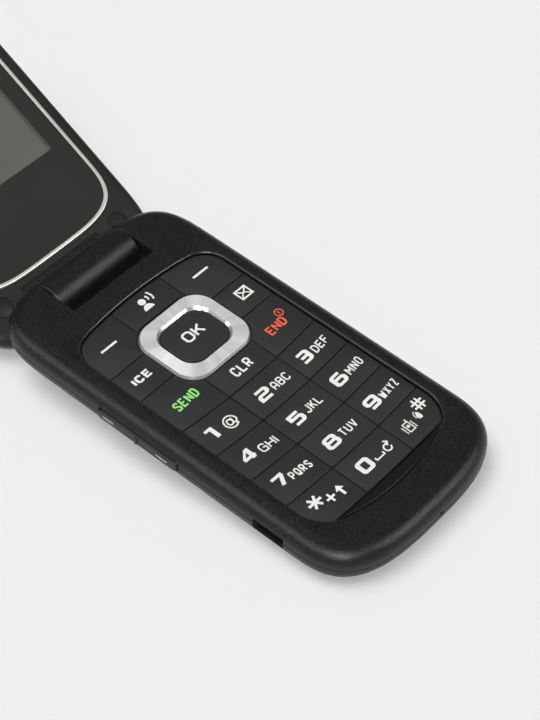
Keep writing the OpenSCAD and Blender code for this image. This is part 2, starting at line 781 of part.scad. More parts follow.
module charge_port() {
    out = -base_w / 2 + port_setback;
    color(METAL) on_base() {
        difference() {
            block(out, out + port_depth, port_at - port_w / 2, port_at + port_w / 2,
                  port_mid_h - port_h / 2, port_mid_h + port_h / 2);
            block(out - 1, out + port_depth - port_wall, port_at - port_w / 2 + port_wall,
                  port_at + port_w / 2 - port_wall, port_mid_h - port_h / 2 + port_wall,
                  port_mid_h + port_h / 2 - port_wall);
        }
        // contact tongue
        block(out + tongue_back, out + port_depth - port_wall / 2, port_at - port_w / 4, port_at + port_w / 4,
              port_mid_h + tongue_up, port_mid_h + tongue_up + tongue_t);
    }
}
tongue_back = 0.6;
tongue_up = 0.1;
tongue_t = 0.5;

module headset_jack() {
    color("#151515") on_base() translate([0, jack_at, parting_h]) difference() {
        rod(jack_out - jack_len, jack_out, jack_r);
        rod(jack_out - jack_len + jack_floor, jack_out + OVER, jack_bore_r);
    }
}
jack_floor = 1;

// The microphone stands just inside the inner end of its hole
mic_lap = 0.2;
mic_y = -base_len / 2 + mic_reach - mic_lap + mic_r;
module microphone() {
    color(METAL) on_base() translate([mic_x, mic_y, floor_top + stack_gap]) cylinder(h = mic_t, r = mic_r);
}

motor_x = 9;
motor_up = 16.45;
motor_shaft_r = 0.4;
motor_shaft_len = 0.7;
weight_gap = 0.1;
module vibration_motor() {
    weight_x = motor_len / 2 + motor_shaft_len;
    color(METAL) on_base() translate([motor_x, -base_len / 2 + motor_up, floor_top + motor_r + stack_gap])
        union() {
            rod(-motor_len / 2, motor_len / 2, motor_r);
            rod(motor_len / 2, weight_x, motor_shaft_r);
            intersection() {
                rod(weight_x, weight_x + weight_len, motor_r - weight_gap);
                block(motor_len / 2, weight_x + weight_len + OVER, -motor_r, motor_r, 0, motor_r);
            }
        }
}

antenna_in = 0.2;
antenna_t = 0.5;
antenna_len = 6.85;
antenna_gap = 0.4;
module antenna() {
    low = floor_top + stack_gap;
    color("#8c7340") on_base() difference() {
        flat(base_outline(board_in + antenna_in), low, low + antenna_t);
        block(-base_w, base_w, -base_len / 2 + antenna_len, base_len, 0, base_h);
        translate([mic_x, mic_y, 0]) cylinder(h = base_h, r = mic_r + antenna_gap);
    }
}

module loudspeaker() {
    color("#262626") on_base() translate([speaker_x, speaker_y, 0])
        rounded(speaker_w, speaker_len, speaker_r, floor_top + stack_gap, floor_top + speaker_t);
}

module housing_screws() {
    color(METAL) on_base() for (p = screw_places) translate([p.x, p.y, 0]) {
        translate([0, 0, floor_top - screw_head_t]) cylinder(h = screw_head_t, r = screw_head_r);
        translate([0, 0, floor_top - screw_head_t]) cylinder(h = screw_len, r = screw_r);
    }
}

module hinge_cartridge() {
    color(METAL) on_lid() union() {
        rod(-barrel_half, -barrel_half + cartridge_len, cartridge_r);
        rod(-slot_half - head_reach, -barrel_half + OVER, head_r);
    }
}

module hinge_pin() {
    color(METAL) on_base() at_axis() rod(slot_half - pin_reach, slot_half + pin_seat, hinge_pin_r);
}

// ---- side keys ----
module volume_key() {
    color(SIDE_GREY) on_base()
        block(-side_key_out, -side_key_in, volume_at - volume_len / 2, volume_at + volume_len / 2,
              side_mid_h - side_key_h / 2, side_mid_h + side_key_h / 2);
}

module side_key(y) {
    color(SIDE_GREY) on_base()
        block(side_key_in, base_w / 2 + right_proud, y - side_key_len / 2, y + side_key_len / 2,
              side_mid_h - side_key_h / 2, side_mid_h + side_key_h / 2);
}
module camera_key() side_key(lower_side_at);
module speaker_key() side_key(upper_side_at);

// ---- keys ----
function sag_at(y) = y > row_call + EPS ? 0 : row_sag * (1 - sag_fade * (row_call - y) / row_pitch);
function row_y(y, x) = y + sag_at(y) * (x / pad_half) * (x / pad_half);

// One key cap between two columns and two rows, trimmed to the key field and the ring
module key_cap(x0, x1, y0, y1) {
    g = key_gap / 2;
    color(KEY_GREY) on_base() difference() {
        intersection() {
            flat(concat([for (x = steps(x0 + g, x1 - g, 4)) [x, row_y(y0, x) + g]],
                        [for (x = steps(x1 - g, x0 + g, 4)) [x, row_y(y1, x) - g]]), key_low, key_top);
            flat(pad_outline(-rim_gap), key_low, key_top);
        }
        translate([0, ring_at, 0]) rounded(2 * (ring_half_w + key_gap), 2 * (ring_half_h + key_gap),
                                           ring_r + key_gap, 0, base_h + OVER);
    }
}

pad_edge = pad_half + OVER;
pad_roof = pad_top_y + pad_arch;
module key_soft_left() key_cap(-pad_edge, -column_half, row_soft, pad_roof);
module key_voice() key_cap(-column_half, column_half, row_soft, pad_roof);
module key_soft_right() key_cap(column_half, pad_edge, row_soft, pad_roof);
module key_ice() key_cap(-pad_edge, -column_half, row_side, row_soft);
module key_mail() key_cap(column_half, pad_edge, row_side, row_soft);
module key_send() key_cap(-pad_edge, -column_half, row_call, row_side);
module key_clear() key_cap(-column_half, column_half, row_call, row_side);
module key_end() key_cap(column_half, pad_edge, row_call, row_side);
module key_1() key_cap(-pad_edge, -column_half, row_4, row_call);
module key_2() key_cap(-column_half, column_half, row_4, row_call);
module key_3() key_cap(column_half, pad_edge, row_4, row_call);
module key_4() key_cap(-pad_edge, -column_half, row_3, row_4);
module key_5() key_cap(-column_half, column_half, row_3, row_4);
module key_6() key_cap(column_half, pad_edge, row_3, row_4);
module key_7() key_cap(-pad_edge, -column_half, row_2, row_3);
module key_8() key_cap(-column_half, column_half, row_2, row_3);
module key_9() key_cap(column_half, pad_edge, row_2, row_3);
module key_star() key_cap(-pad_edge, -column_half, row_start, row_2);
module key_0() key_cap(-column_half, column_half, row_start, row_2);
module key_hash() key_cap(column_half, pad_edge, row_start, row_2);

// ---- navigation ring ----
ring_top = base_h + ring_rise;
carrier_low = mat_top + key_travel;
carrier_top = carrier_low + carrier_t;

module ring_shape(g, low, high) {
    translate([0, ring_at, 0]) difference() {
        rounded(2 * (ring_half_w - g), 2 * (ring_half_h - g), ring_r - g, low, high);
        rounded(2 * (ok_half_w + key_gap + g), 2 * (ok_half_h + key_gap + g), ok_r + key_gap + g,
                low - OVER, high + OVER);
    }
}

carrier_in = 0.8;
module nav_carrier() {
    color("#4a4b4d") on_base() ring_shape(carrier_in, carrier_low, carrier_top);
}

// The ring floats above its carrier by as much as its side dips when it tilts
tilt_spare = 0.02;
ring_float = ring_half_w * sin(ring_tilt) + tilt_spare;
ring_step_h = 0.25;
ring_step_in = 0.35;
module nav_ring() {
    color(SILVER) on_base() union() {
        ring_shape(0, carrier_top + ring_float, ring_top - ring_step_h);
        ring_shape(ring_step_in, carrier_top + ring_float, ring_top);
    }
}

ok_recess = 0.2;
module key_ok() {
    color(KEY_GREY) on_base() translate([0, ring_at, 0])
        rounded(2 * ok_half_w, 2 * ok_half_h, ok_r, key_low, base_h - ok_recess);
}

// ---- lid ----
module lid_loft(low, high) {
    inner = [for (k = [EDGE_STEPS : -1 : 0]) edge_heights(0, lid_in_round)[k]];
    outer = edge_heights(0, lid_out_round);
    all_rings = concat([for (h = outer) [lid_back_z + h, edge_in(h, lid_out_round)]],
                       [for (h = inner) [chin_z - h, edge_in(h, lid_in_round)]]);
    loft([for (r = all_rings) if (r[0] >= low - EPS && r[0] <= high + EPS) [r[0], lid_outline(r[1])]]);
}

barrel_half = slot_half - barrel_gap;
web_half = 2.4;
web_lap = 40;
chamber_r = 3.3;
chamber_half = 4.5;
flex_half = 3.5;
cavity_in = wall + rib;
neck_root = 1;
cavity_from = neck_reach + neck_root;
ribbon_lap = 3;
lid_board_from = cavity_from + ribbon_lap;
ribbon_end = lid_board_from + ribbon_lap;

module screw_cover_spots() {
    for (x = [-1, 1]) translate([x * screw_cover_x, screw_cover_w, 0]) children();
}

module bumper_spots() {
    for (x = [-1, 1]) translate([x * bumper_x, tip_w - bumper_back, 0]) children();
}

module_lap = 0.9;
module_r = 0.8;
module lid_inner_housing() {
    ledge = 2 * (module_border - module_lap);
    color("#2f2e2c") on_lid() difference() {
        union() {
            lid_loft(lid_seam_z, chin_z);
            rod(-barrel_half, barrel_half, barrel_r);
            block(-barrel_half, barrel_half, -web_half, neck_reach, chin_z - wall, chin_z + neck_rise);
            // web that joins the neck to the barrel
            block(-barrel_half, barrel_half, -web_half, web_half, chin_z, -barrel_r * cos(web_lap));
        }
        // hollow behind the inner face
        difference() {
            flat(lid_outline(cavity_in), lid_seam_z - OVER, plate_low_z);
            block(-lid_w, lid_w, -lid_w, cavity_from, lid_back_z, 0);
        }
        // seat of the silver frame and the window
        flat(frame_outline(frame_line / 2 + seat_gap), window_low_z - seat_gap, 0);
        translate([0, picture_mid, 0])
            rounded(picture_w + ledge, picture_h + ledge, module_r, lid_back_z, chin_z);
        translate([0, ear_at, 0]) rounded(ear_w, ear_h, ear_h / 2 - EPS, lid_back_z, chin_z);
        // bores of the hinge cartridge and the hinge pin, and the ribbon's chamber between them
        rod(-barrel_half - OVER, -barrel_half + cartridge_len + seat_gap, cartridge_r + seat_gap);
        rod(slot_half - pin_reach - end_gap, barrel_half + OVER, hinge_pin_r + hinge_fit);
        rod(-chamber_half, chamber_half, chamber_r);
        block(-flex_half - side_gap, flex_half + side_gap, 0, cavity_from + OVER, ribbon_low_z - side_gap,
              ribbon_low_z + ribbon_t + seat_gap);
        block(-flex_half - side_gap, flex_half + side_gap, -ribbon_drop, ribbon_drop,
              ribbon_low_z - side_gap, 0);
        screw_cover_spots() {
            translate([0, 0, chin_z - screw_cover_t - seat_gap])
                cylinder(h = 2 * OVER, r = screw_cover_r + seat_gap);
            translate([0, 0, head_low_z]) cylinder(h = 2 * OVER, r = screw_head_r + screw_gap);
            translate([0, 0, lid_back_z]) cylinder(h = lid_t, r = screw_r + screw_gap);
        }
        bumper_spots() translate([0, 0, chin_z - bumper_sink])
            cylinder(h = 2 * OVER, r = bumper_r + seat_gap);
    }
}

head_low_z = chin_z - screw_cover_t - 2 * seat_gap - screw_head_t;
ribbon_t = 0.3;
ribbon_low_z = plate_low_z - ribbon_t - seat_gap;
ribbon_drop = 0.5;

module lid_outer_housing() {
    color("#1d2026") on_lid() difference() {
        lid_loft(lid_back_z, lid_seam_z - seat_gap);
        difference() {
            loft([for (h = steps(0, lid_t, 6))
                [outer_wall_z + h, lid_outline(cavity_in + edge_in(h + wall, lid_out_round))]]);
            screw_cover_spots() translate([0, 0, lid_back_z]) cylinder(h = lid_t, r = post_r + post_wall);
        }
        screw_cover_spots() translate([0, 0, head_low_z - lid_screw_len - seat_gap])
            cylinder(h = lid_t, r = screw_r + seat_gap);
        // seats of the outer window and the camera lens
        translate([0, outer_at, 0]) {
            rounded(outer_w + 2 * seat_gap, outer_h + 2 * seat_gap, outer_r, lid_back_z - OVER,
                    lid_back_z + outer_window_t + seat_gap);
            rounded(outer_w - 2 * outer_lip, outer_h - 2 * outer_lip, outer_hole_r, lid_back_z - OVER,
                    outer_wall_z + OVER);
        }
        translate([0, camera_at, lid_back_z - OVER]) {
            cylinder(h = OVER + lens_t + seat_gap, r = lens_r + seat_gap);
            cylinder(h = OVER + wall + OVER, r = lens_r - lens_lip);
        }
    }
}

lid_screw_len = 3.4;
lens_t = 0.6;
lens_lip = 0.8;
outer_r = 3;
outer_hole_r = 2;
outer_lip = 2;

module window_frame() {
    color(SILVER) on_lid() difference() {
        flat(frame_outline(frame_line / 2), window_low_z, frame_z);
        flat(frame_outline(-frame_line / 2), window_low_z - OVER, frame_z + OVER);
    }
}

module lid_window() {
    color("#3a3937") on_lid() difference() {
        flat(frame_outline(-frame_line / 2 - seat_gap), window_low_z, window_z);
        translate([0, ear_at, 0]) rounded(ear_w, ear_h, ear_h / 2 - EPS, lid_back_z, 0);
    }
}

module main_display() {
    color("#6b6a66") on_lid() translate([0, picture_mid, 0]) {
        rounded(picture_w + 2 * module_border, picture_h + 2 * module_border, module_r, module_low_z,
                module_top_z);
        rounded(picture_w, picture_h, picture_r, module_low_z + EPS, window_low_z - 2 * seat_gap);
    }
}
picture_r = 0.5;

ear_border_w = 1.5;
ear_border_h = 2;
ear_body_r = 1.6;
module earpiece() {
    color("#1a1a1a") on_lid() translate([0, ear_at, 0])
        rounded(ear_w + 2 * ear_border_w, ear_h + 2 * ear_border_h, ear_body_r, module_low_z, module_top_z);
}

lid_board_gap = 0.6;
module lid_board() {
    color(BOARD_GREEN) on_lid() difference() {
        flat(lid_outline(cavity_in + lid_board_gap), lid_board_low_z, lid_board_top_z);
        block(-lid_w, lid_w, -lid_w, lid_board_from, lid_back_z, 0);
    }
}

outer_module_t = 1.2;
outer_module_in = 2.5;
outer_module_r = 1;
module outer_display() {
    color("#4c5054") on_lid() translate([0, outer_at, 0])
        rounded(outer_w - 2 * outer_module_in, outer_h - 2 * outer_module_in, outer_module_r,
                lid_board_low_z - stack_gap - outer_module_t, lid_board_low_z - stack_gap);
}

module outer_window() {
    color("#17181a") on_lid() translate([0, outer_at, 0])
        rounded(outer_w, outer_h, outer_r, lid_back_z, lid_back_z + outer_window_t);
}

camera_w = 7;
camera_corner_r = 0.6;
barrel_lip = 0.9;
module camera_module() {
    color("#101010") on_lid() translate([0, camera_at, 0]) union() {
        rounded(camera_w, camera_w, camera_corner_r, outer_wall_z + stack_gap, lid_board_low_z - stack_gap);
        translate([0, 0, lid_back_z + lens_t + 2 * seat_gap]) cylinder(h = wall, r = lens_r - barrel_lip);
    }
}

module camera_lens() {
    color("#20242a") on_lid() translate([0, camera_at, lid_back_z]) cylinder(h = lens_t, r = lens_r);
}

module screw_covers() {
    color(RUBBER) on_lid() screw_cover_spots()
        translate([0, 0, chin_z - screw_cover_t]) cylinder(h = screw_cover_t, r = screw_cover_r);
}

module lid_bumpers() {
    color(RUBBER) on_lid() bumper_spots()
        translate([0, 0, chin_z - bumper_sink + seat_gap])
            cylinder(h = bumper_sink - seat_gap + bumper_rise, r = bumper_r);
}

module lid_screws() {
    color(METAL) on_lid() screw_cover_spots() {
        translate([0, 0, head_low_z + seat_gap]) cylinder(h = screw_head_t - seat_gap, r = screw_head_r);
        translate([0, 0, head_low_z - lid_screw_len]) cylinder(h = lid_screw_len + screw_head_t, r = screw_r);
    }
}

// Ribbon cable: wound inside the barrel, then through the neck to the lid's board
module hinge_flex() {
    spool_r = 1.9;
    color("#b5651d") on_lid() union() {
        difference() {
            rod(-flex_half, flex_half, spool_r);
            rod(-flex_half - OVER, flex_half + OVER, spool_r - 2 * ribbon_t);
        }
        block(-flex_half, flex_half, -ribbon_t / 2, ribbon_t / 2, ribbon_low_z, -spool_r + ribbon_t);
        block(-flex_half, flex_half, -ribbon_t / 2, ribbon_end, ribbon_low_z, ribbon_low_z + ribbon_t);
        block(-flex_half, flex_half, ribbon_end - ribbon_t, ribbon_end, lid_board_top_z + stack_gap,
              ribbon_low_z + ribbon_t);
    }
}

front_housing();
rear_housing();
battery_cover();
battery_pack();
battery_contacts();
main_board();
shield_cans();
dome_sheet();
keypad_mat();
keypad_trim();
charge_port();
headset_jack();
microphone();
vibration_motor();
antenna();
loudspeaker();
housing_screws();
hinge_cartridge();
hinge_pin();
volume_key();
camera_key();
speaker_key();
key_soft_left();
key_voice();
key_soft_right();
key_ice();
key_mail();
key_send();
key_clear();
key_end();
key_1();
key_2();
key_3();
key_4();
key_5();
key_6();
key_7();
key_8();
key_9();
key_star();
key_0();
key_hash();
nav_carrier();
nav_ring();
key_ok();
lid_inner_housing();
lid_outer_housing();
lid_window();
window_frame();
main_display();
earpiece();
lid_board();
outer_display();
outer_window();
camera_module();
camera_lens();
screw_covers();
lid_bumpers();
lid_screws();
hinge_flex();
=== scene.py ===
import json
import math

import bmesh
import bpy
from mathutils import Matrix, Vector


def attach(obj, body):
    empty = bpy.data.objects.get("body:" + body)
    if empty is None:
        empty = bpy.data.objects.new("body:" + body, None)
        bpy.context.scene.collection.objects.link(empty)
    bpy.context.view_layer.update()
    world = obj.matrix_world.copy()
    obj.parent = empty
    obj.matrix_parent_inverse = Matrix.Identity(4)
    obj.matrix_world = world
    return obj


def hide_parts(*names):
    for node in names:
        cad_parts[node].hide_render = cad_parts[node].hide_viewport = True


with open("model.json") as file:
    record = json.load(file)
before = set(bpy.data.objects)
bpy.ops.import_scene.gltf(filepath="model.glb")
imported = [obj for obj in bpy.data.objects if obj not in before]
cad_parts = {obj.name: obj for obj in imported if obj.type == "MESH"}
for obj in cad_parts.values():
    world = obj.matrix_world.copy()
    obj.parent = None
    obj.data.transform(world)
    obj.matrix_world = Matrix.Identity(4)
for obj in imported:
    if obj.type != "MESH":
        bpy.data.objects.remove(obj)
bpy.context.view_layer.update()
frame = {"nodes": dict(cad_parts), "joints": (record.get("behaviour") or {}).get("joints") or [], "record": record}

# Pieces are drawn in millimetres, either in the keypad half's own frame (x right, y towards the
# hinge, z up from its underside) or in the lid's frame (origin on the hinge axis, y towards the
# lid's tip), and are then set in place by BASE or LID.
MM = 0.001
LID_RISE = math.radians(26.9)
AXIS_Y = 45.45
AXIS_H = 5.0

joints = {joint["name"]: joint for joint in frame["joints"]}
axis_place = Vector(joints["lid_hinge"]["pos_m"])
face_up = -Vector(joints["press_ok"]["axis"]).normalized()
face_right = Vector((1, 0, 0))
face_along = face_up.cross(face_right)
turn = Matrix((face_right, face_along, face_up)).transposed().to_4x4()
axis_frame = Matrix.Translation(axis_place) @ turn
BASE = axis_frame @ Matrix.Translation((0, -AXIS_Y * MM, -AXIS_H * MM)) @ Matrix.Scale(MM, 4)
LID = axis_frame @ Matrix.Rotation(LID_RISE, 4, "X") @ Matrix.Scale(MM, 4)

# ---- sizes, in millimetres ----
BASE_HALF = 26.0
BASE_END = 50.45
BASE_H = 9.2
PARTING = 5.0
COVER_RIM = 1.9
SEAM = 0.04
TOP_ROUND = 3.5
BOTTOM_ROUND = 4.6
WALL = 1.2
SLOT_HALF = 12.2
SLOT_Y = 37.05
KEY_TOP = 8.65
KEY_LOW = 7.85
RING_AT = 14.35
ROW_LOW = -37.9
ROW_PITCH = 8.98
ROW_CALL = ROW_LOW + 4 * ROW_PITCH
ROW_SIDE = 10.47
ROW_SOFT = 18.82
COLUMN = 7.4
KEY_GAP = 0.3
ROW_SAG = 1.15
SAG_FADE = 0.12
OK_TOP = 9.0
PAD_HALF = 21.0
PAD_TOP = 30.6
PAD_BOTTOM = -39.3
PAD_ARCH = 1.2
PAD_BULGE = 1.75
# how deep the outlines' rounded ends reach, and how square they are
FREE_END = 17.1
FREE_POWER = 3.0
HINGE_END = 19.4
HINGE_POWER = 3.8
# the battery bay and the outside of its wall, as left, right, low and high
BAY = (-17.3, 17.3, -23, 27)
BAY_WALL = (-18.5, 18.5, -24.2, 28.2)
CHIN = -5.35
LID_BACK = -12.5
LID_SEAM = -7.55
LID_HALF = 25.9
LID_TIP = 95.9
BARREL_R = 4.8
BARREL_HALF = 12.05
LID_WALL = 1.5
LID_FLOOR = -6.55
LID_SCREW_X = 17.86
LID_SCREW_AT = 5.8
BUMPER_X = 13
BUMPER_AT = 92.5
OUTER_WINDOW_AT = 47
LENS_AT = 73
PICTURE_HALF = 16.9
PICTURE_AT = 48.85
FRAME_HALF = 21.75
FRAME_FROM = 8.8
FRAME_TO = 90.2
FRAME_END = 13.75
FRAME_POWER = 4.0
FRAME_TOP = -4.7
WINDOW_TOP = -4.75
WINDOW_LOW = -5.75
EAR_AT = 81.0
SIDE_MID = 4.9
VOLUME_OUT = 26.5
RIGHT_OUT = 26.7
SIDE_IN = 24.1
VOLUME_AT = 6.3
JACK_AT = 33.4
# how finely outlines are drawn: hidden hollows are coarser
FINE = 0.8
COARSE = 1.6


# ---- modelling steps ----
def let_go():
    if bpy.context.object and bpy.context.object.mode != "OBJECT":
        bpy.ops.object.mode_set(mode="OBJECT")
    bpy.ops.object.select_all(action="DESELECT")


def work_on(piece):
    let_go()
    piece.select_set(True)
    bpy.context.view_layer.objects.active = piece


def pick(piece, kind, test):
    """Open the piece in edit mode with only the faces or edges that the test accepts selected."""
    work_on(piece)
    bpy.ops.object.mode_set(mode="EDIT")
    bpy.ops.mesh.select_mode(type=kind)
    bpy.ops.mesh.select_all(action="DESELECT")
    mesh = bmesh.from_edit_mesh(piece.data)
    chosen = 0
    for part in (mesh.edges if kind == "EDGE" else mesh.faces):
        if test(part):
            part.select_set(True)
            chosen += 1
    bmesh.update_edit_mesh(piece.data)
    return chosen


def open_whole(piece):
    """Open the piece in edit mode with all of it selected."""
    work_on(piece)
    bpy.ops.object.mode_set(mode="EDIT")
    bpy.ops.mesh.select_all(action="SELECT")


def done(piece):
    bpy.ops.object.mode_set(mode="OBJECT")
    return piece


def face_outwards(piece):
    """Turn all faces of the open piece outwards, and close it."""
    bpy.ops.mesh.select_all(action="SELECT")
    bpy.ops.mesh.normals_make_consistent(inside=False)
    return done(piece)


def round_edges(piece, test, width, steps=3):
    """Bevel the edges that the test accepts."""
    if pick(piece, "EDGE", test):
        bpy.ops.mesh.bevel(offset=width, segments=steps, profile=0.5, affect="EDGES", clamp_overlap=False)
    return done(piece)


def level(edge, height, slack=0.004):
    return all(abs(corner.co.z - height) < slack for corner in edge.verts)


def round_at(piece, height, width, steps=3):
    """Bevel the edges that lie level at the given height."""
    return round_edges(piece, lambda edge: level(edge, height), width, steps)


def upright(edge, sharper_than=30):
    one, other = edge.verts
    if (one.co.xy - other.co.xy).length > 0.002 or len(edge.link_faces) != 2:
        return False
    return edge.calc_face_angle(0) > math.radians(sharper_than)


def slab(name, outline, low, high):
    """A plate with the given outline between two heights."""
    let_go()
    bpy.ops.mesh.primitive_circle_add(vertices=len(outline), radius=1, fill_type="NGON")
    piece = bpy.context.object
    piece.name = name
    for corner, place in zip(piece.data.vertices, outline):
        corner.co = (place[0], place[1], low)
    bpy.ops.object.mode_set(mode="EDIT")
    bpy.ops.mesh.select_all(action="SELECT")
    bpy.ops.mesh.extrude_region_move(TRANSFORM_OT_translate={"value": (0, 0, high - low)})
    return face_outwards(piece)


def band(name, rings):
    """A closed hoop whose cross-section passes through the given rings of points in turn."""
    let_go()
    bpy.ops.mesh.primitive_circle_add(vertices=len(rings[0]), radius=1, fill_type="NOTHING")
    piece = bpy.context.object
    piece.name = name
    bpy.ops.object.mode_set(mode="EDIT")
    bpy.ops.mesh.select_mode(type="EDGE")
    mesh = bmesh.from_edit_mesh(piece.data)
    mark = mesh.verts.layers.int.new("turn")
    mesh.verts.ensure_lookup_table()
    for index, corner in enumerate(mesh.verts):
        corner[mark] = index
        corner.co = rings[0][index]
    bmesh.update_edit_mesh(piece.data)
    for ring in rings[1:]:
        bpy.ops.mesh.extrude_region_move()
        mesh = bmesh.from_edit_mesh(piece.data)
        mark = mesh.verts.layers.int["turn"]
        for corner in mesh.verts:
            if corner.select:
                corner.co = ring[corner[mark]]
        bmesh.update_edit_mesh(piece.data)
    bpy.ops.mesh.select_non_manifold(extend=False)
    bpy.ops.mesh.bridge_edge_loops()
    return face_outwards(piece)


def fresh(name):
    """The solid that was just added, named, with its place and turn in its mesh."""
    piece = bpy.context.object
    piece.name = name
    bpy.ops.object.transform_apply(location=True, rotation=True, scale=True)
    return piece


def block(x0, x1, y0, y1, z0, z1, name="block"):
    let_go()
    middle = ((x0 + x1) / 2, (y0 + y1) / 2, (z0 + z1) / 2)
    bpy.ops.mesh.primitive_cube_add(size=1, location=middle, scale=(x1 - x0, y1 - y0, z1 - z0))
    return fresh(name)


def cylinder(place, radius, length, turned, sides, name="cylinder"):
    let_go()
    bpy.ops.mesh.primitive_cylinder_add(vertices=sides, radius=radius, depth=length, location=place,
                                        rotation=turned)
    return fresh(name)


def rod(x0, x1, y, z, radius, name="rod", sides=64):
    """A round bar along x."""
    return cylinder(((x0 + x1) / 2, y, z), radius, x1 - x0, (0, math.pi / 2, 0), sides, name)


def bore(x, y, z, radius, depth, sides):
    """A round bar along y, about its middle."""
    return cylinder((x, y, z), radius, depth, (math.pi / 2, 0, 0), sides)


def post(x, y, radius, low, high, name="post", sides=48):
    return cylinder((x, y, (low + high) / 2), radius, high - low, (0, 0, 0), sides, name)


def combine(piece, tool, how):
    work_on(piece)
    step = piece.modifiers.new("step", "BOOLEAN")
    step.operation = how
    step.solver = "EXACT"
    step.object = tool
    bpy.ops.object.modifier_apply(modifier=step.name)
    bpy.data.objects.remove(tool)
    return piece


def cut(piece, *tools):
    for tool in tools:
        combine(piece, tool, "DIFFERENCE")
    return piece


def join(first, *others):
    for other in others:
        combine(first, other, "UNION")
    return first


def gather(pieces, name):
    """Several separate forms as one object."""
    let_go()
    for piece in pieces:
        piece.select_set(True)
    bpy.context.view_layer.objects.active = pieces[0]
    if len(pieces) > 1:
        bpy.ops.object.join()
    pieces[0].name = name
    return pieces[0]


def trim(piece, place, normal):
    """Cut the piece at a plane, keep the side that the normal points away from, and close it."""
    open_whole(piece)
    bpy.ops.mesh.bisect(plane_co=place, plane_no=normal, use_fill=True, clear_outer=True)
    return done(piece)


def settle(piece, body, material, nodes=(), crease=32):
    """Set a finished piece in the phone, with its finish, and say what it moves with."""
    place = LID if body == "lid" else BASE
    open_whole(piece)
    bpy.ops.mesh.remove_doubles(threshold=0.0005)
    bpy.ops.object.mode_set(mode="OBJECT")
    piece.data.transform(place)
    piece.data.update()
    bpy.ops.object.shade_smooth_by_angle(angle=math.radians(crease))
    piece.data.materials.clear()
    piece.data.materials.append(material)
    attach(piece, body)
    if nodes:
        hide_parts(*nodes)
    return piece


# ---- outlines ----
def even(points, spacing):
    """The closed line through the points, with corners at even distances along it."""
    lengths = [0.0]
    for index, point in enumerate(points):
        following = points[(index + 1) % len(points)]
        lengths.append(lengths[-1] + math.dist(point, following))
    count = 2 * max(6, round(lengths[-1] / spacing / 2))
    result = []
    index = 0
    for step in range(count):
        wanted = lengths[-1] * step / count
        while lengths[index + 1] < wanted:
            index += 1
        share = (wanted - lengths[index]) / max(1e-9, lengths[index + 1] - lengths[index])
        here = points[index]
        there = points[(index + 1) % len(points)]
        result.append((here[0] + (there[0] - here[0]) * share, here[1] + (there[1] - here[1]) * share))
    return result


def power_of(value, power):
    return math.copysign(abs(value) ** power, value)


def oblong(half, low, high, low_end, low_power, high_end, high_power, spacing):
    points = []
    quarters = ((high - high_end, high_end, high_power), (high - high_end, high_end, high_power),
                (low + low_end, low_end, low_power), (low + low_end, low_end, low_power))
    for quarter, (middle, depth, power) in enumerate(quarters):
        for step in range(120):
            angle = math.radians(90 * (quarter + step / 120))
            points.append((half * power_of(round(math.cos(angle), 9), 2 / power),
                           middle + depth * power_of(round(math.sin(angle), 9), 2 / power)))
    return even(points, spacing)


def base_outline(taken=0.0, spacing=FINE):
    return oblong(BASE_HALF - taken, -BASE_END + taken, BASE_END - taken, FREE_END - taken, FREE_POWER,
                  HINGE_END - taken, HINGE_POWER, spacing)


def lid_outline(taken=0.0, spacing=FINE):
    return oblong(LID_HALF - taken, -5.0 + taken, LID_TIP - taken, HINGE_END - taken, HINGE_POWER,
                  FREE_END - taken, FREE_POWER, spacing)


def frame_outline(grown=0.0):
    end = FRAME_END + grown
    return oblong(FRAME_HALF + grown, FRAME_FROM - grown, FRAME_TO + grown, end, FRAME_POWER,
                  end, FRAME_POWER, 0.7)


def arc(x, y, radius, start, stop, steps):
    points = []
    for step in range(steps + 1):
        angle = math.radians(start + (stop - start) * step / steps)
        points.append((x + radius * math.cos(angle), y + radius * math.sin(angle)))
    return points


def rounded(half_x, half_y, radius, x=0.0, y=0.0, steps=12):
    in_x = half_x - radius
    in_y = half_y - radius
    points = []
    for quarter, (side, end) in enumerate(((1, 1), (-1, 1), (-1, -1), (1, -1))):
        points += arc(x + side * in_x, y + end * in_y, radius, 90 * quarter, 90 * quarter + 90, steps)
    return points


def bow_radius(half, rise):
    return (half * half + rise * rise) / (2 * rise)


def pad_outline(grown=0.0):
    """Outline of the key field."""
    top_r = 6.2
    low_r = 8.8
    top_x = PAD_HALF - top_r
    top_y = PAD_TOP - top_r
    low_x = PAD_HALF - low_r
    low_y = PAD_BOTTOM + low_r
    arch_r = bow_radius(top_x + 1, PAD_ARCH)
    arch_y = PAD_TOP + PAD_ARCH - arch_r
    arch = math.degrees(math.asin(top_x / arch_r))
    bulge_r = bow_radius(low_x + 1, PAD_BULGE)
    bulge_y = PAD_BOTTOM - PAD_BULGE + bulge_r
    bulge = math.degrees(math.asin(low_x / bulge_r))
    return (arc(top_x, top_y, top_r + grown, 0, 84, 20)
            + arc(0, arch_y, arch_r + grown, 90 - arch, 90 + arch, 30)
            + arc(-top_x, top_y, top_r + grown, 96, 180, 20)
            + arc(-low_x, low_y, low_r + grown, 180, 262, 22)
            + arc(0, bulge_y, bulge_r + grown, 270 - bulge, 270 + bulge, 30)
            + arc(low_x, low_y, low_r + grown, 278, 360, 22))


def row_y(row, x):
    """Height of a row line at x: the number rows curve up towards the sides."""
    sag = ROW_SAG * (1 - SAG_FADE * (ROW_CALL - row) / ROW_PITCH)
    if row > ROW_CALL + 0.01:
        sag = 0.0
    return row + sag * (x / PAD_HALF) ** 2


# ---- materials ----
# scales of the noises, in features per metre
POLISH_SCALE = 34.0
FLECK_SCALE = 2600.0
DISPLAY_DRIFT = 25.0
# painted sheen sectors of the ring per radian: light and dark fans that stand in for the spun finish's reflections
SHEEN_FAN_SCALE = 2.4
# the share of places that stay free of dust
LINT_BARE = 0.8
LINT_TONE = "#77787a"
# where the darker strip along the display's sides starts, from its middle, in metres
STRIP_FROM = 0.01595
STRIP_TO = 0.01615
